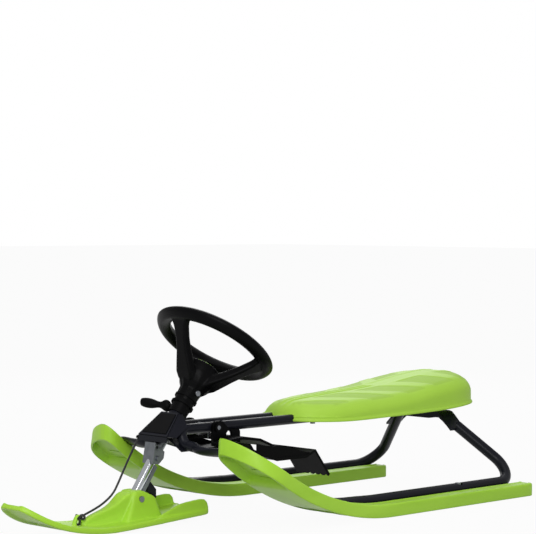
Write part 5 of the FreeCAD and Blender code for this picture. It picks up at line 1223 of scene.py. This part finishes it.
# %% Rear bridge
BRIDGE_X, BRIDGE_HALF, BRIDGE_SHEET, BRIDGE_FLANGE = -504, 22, 4, 11
BRIDGE_LINE = ((0, 0), (30, 0), (48, 0), (56, 2), (66, 11), (78, 23), (88, 33))
FLANGE_RUNS_OUT = (86, 30)
bridge_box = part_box("rear_bridge")
bridge_top = max(corner[2] for corner in bridge_box) / MM
bridge_rings = []
for y, drop in [(-y, drop) for y, drop in reversed(BRIDGE_LINE)] + list(BRIDGE_LINE[1:]):
    flange = BRIDGE_SHEET + BRIDGE_FLANGE * between(*FLANGE_RUNS_OUT, abs(y))
    half, inside = BRIDGE_HALF, BRIDGE_HALF - BRIDGE_SHEET
    section = ((-half, -flange), (-half, 0), (half, 0), (half, -flange), (inside, -flange),
               (inside, -BRIDGE_SHEET), (-inside, -BRIDGE_SHEET), (-inside, -flange))
    bridge_rings.append([Vector((BRIDGE_X + x, y, bridge_top - drop + z)) for x, z in section])
bridge_bm = bmesh.new()
loft(bridge_bm, bridge_rings)
bmesh.ops.recalc_face_normals(bridge_bm, faces=bridge_bm.faces)
bridge = make_piece("rear_bridge_pressing", bridge_bm, "frame", ["rear_bridge"])
print(dress(bridge, frame_coat))

# %% [markdown]
# ## Brake skirts
# The brake is pressed from one plate. Along its two sides the plate is folded up to a low skirt with a wavy
# upper edge, which closes the step beside each sunk footplate. The wave is easiest to see in the side view,
# so a skirt is an outline in that view, given the plate's thickness.

# %% Brake skirts
SKIRT_OUTLINE = ((112, 126), (112, 145), (106, 143.5), (90, 140), (70, 137.5), (56, 138.5), (30, 133),
                 (-11, 121), (-36, 117), (-18, 109), (60, 109), (102, 122))
SKIRT_OUT, SKIRT_IN = 131, 128.5
skirt_bm = bmesh.new()
for side in (1, -1):
    loft(skirt_bm, [[Vector((x, side * y, z)) for x, z in SKIRT_OUTLINE] for y in (SKIRT_IN, SKIRT_OUT)])
bmesh.ops.recalc_face_normals(skirt_bm, faces=skirt_bm.faces)
skirts = make_piece("brake_side_skirts", skirt_bm, "brake")
print(dress(skirts, brake_coat))

# %% [markdown]
# ## Floor
# The photograph is a studio cut-out on white. A real studio would use a roll of paper, and so does this
# scene: a large pale floor. The camera, and metal that mirrors the floor, sees it nearly at full white by
# way of the light path, and the small rest is the lit paper, which keeps the sled's shadow.

# %% Floor
FLOOR_HALF, FLOOR_DROP, WHITE_SHARE = 30, 0.5, 0.95
floor_bm = bmesh.new()
bmesh.ops.create_grid(floor_bm, x_segments=1, y_segments=1, size=FLOOR_HALF)
floor_mesh = bpy.data.meshes.new("studio_floor")
floor_bm.to_mesh(floor_mesh)
floor_bm.free()
floor = bpy.data.objects.new("studio_floor", floor_mesh)
floor.location.z = -FLOOR_DROP * MM
scene.collection.objects.link(floor)
paper, tree, shader, place = start_material("studio_paper")
shader.inputs["Base Color"].default_value = linear("#B4B4B4")
shader.inputs["Roughness"].default_value = 0.9
seen = add_node(tree, "ShaderNodeLightPath")
direct = add_node(tree, "ShaderNodeMath", {
    0: seen.outputs["Is Camera Ray"], 1: seen.outputs["Is Glossy Ray"]}, operation="MAXIMUM")
share = add_node(tree, "ShaderNodeMath", {0: direct.outputs["Value"], 1: WHITE_SHARE},
                 operation="MULTIPLY")
white = add_node(tree, "ShaderNodeEmission", {"Color": linear("#FFFFFF"), "Strength": 1})
both = add_node(tree, "ShaderNodeMixShader", {
    0: share.outputs["Value"], 1: shader.outputs["BSDF"], 2: white.outputs["Emission"]})
tree.links.new(both.outputs["Shader"], tree.nodes["Material Output"].inputs["Surface"])
print(dress(floor, paper))

# %% [markdown]
# ## Light
# The photograph's light is soft and comes from all round, with no hard shadow. A white world gives most of
# it, at a plain level for the sled and at full white for the camera. Three large lamps, one overhead and
# one from each end, add the broad highlights that show the forms.

# %% Light
WORLD_LEVEL = 0.55
# name, place and aim in metres, size in metres, watts
LAMPS = (
    ("overhead_softbox", (0.1, 0.2, 2.6), (0, 0, 0.1), 2.2, 15),
    ("front_left_softbox", (2.2, 1.9, 1.5), (0.1, 0, 0.2), 1.4, 46),
    ("rear_right_softbox", (-2.0, -2.0, 1.6), (0, 0, 0.2), 1.6, 18),
)
world = bpy.data.worlds.new("white_studio")
scene.world = world
world.use_nodes = True
tree = world.node_tree
seen = add_node(tree, "ShaderNodeLightPath")
shown = add_node(tree, "ShaderNodeMath", {
    0: seen.outputs["Is Camera Ray"], 1: seen.outputs["Is Transmission Ray"]}, operation="MAXIMUM")
level = add_node(tree, "ShaderNodeMapRange", {
    "Value": shown.outputs["Value"], "To Min": WORLD_LEVEL, "To Max": 1})
tree.links.new(level.outputs["Result"], tree.nodes["Background"].inputs["Strength"])
tree.nodes["Background"].inputs["Color"].default_value = linear("#FFFFFF")
for name, place, aim, size, watts in LAMPS:
    lamp_data = bpy.data.lights.new(name, "AREA")
    lamp_data.size = size
    lamp_data.energy = watts
    lamp = bpy.data.objects.new(name, lamp_data)
    lamp.location = place
    lamp.rotation_mode = "QUATERNION"
    lamp.rotation_quaternion = (Vector(aim) - Vector(place)).to_track_quat("-Z", "Y")
    scene.collection.objects.link(lamp)
print("lamps", len(LAMPS))
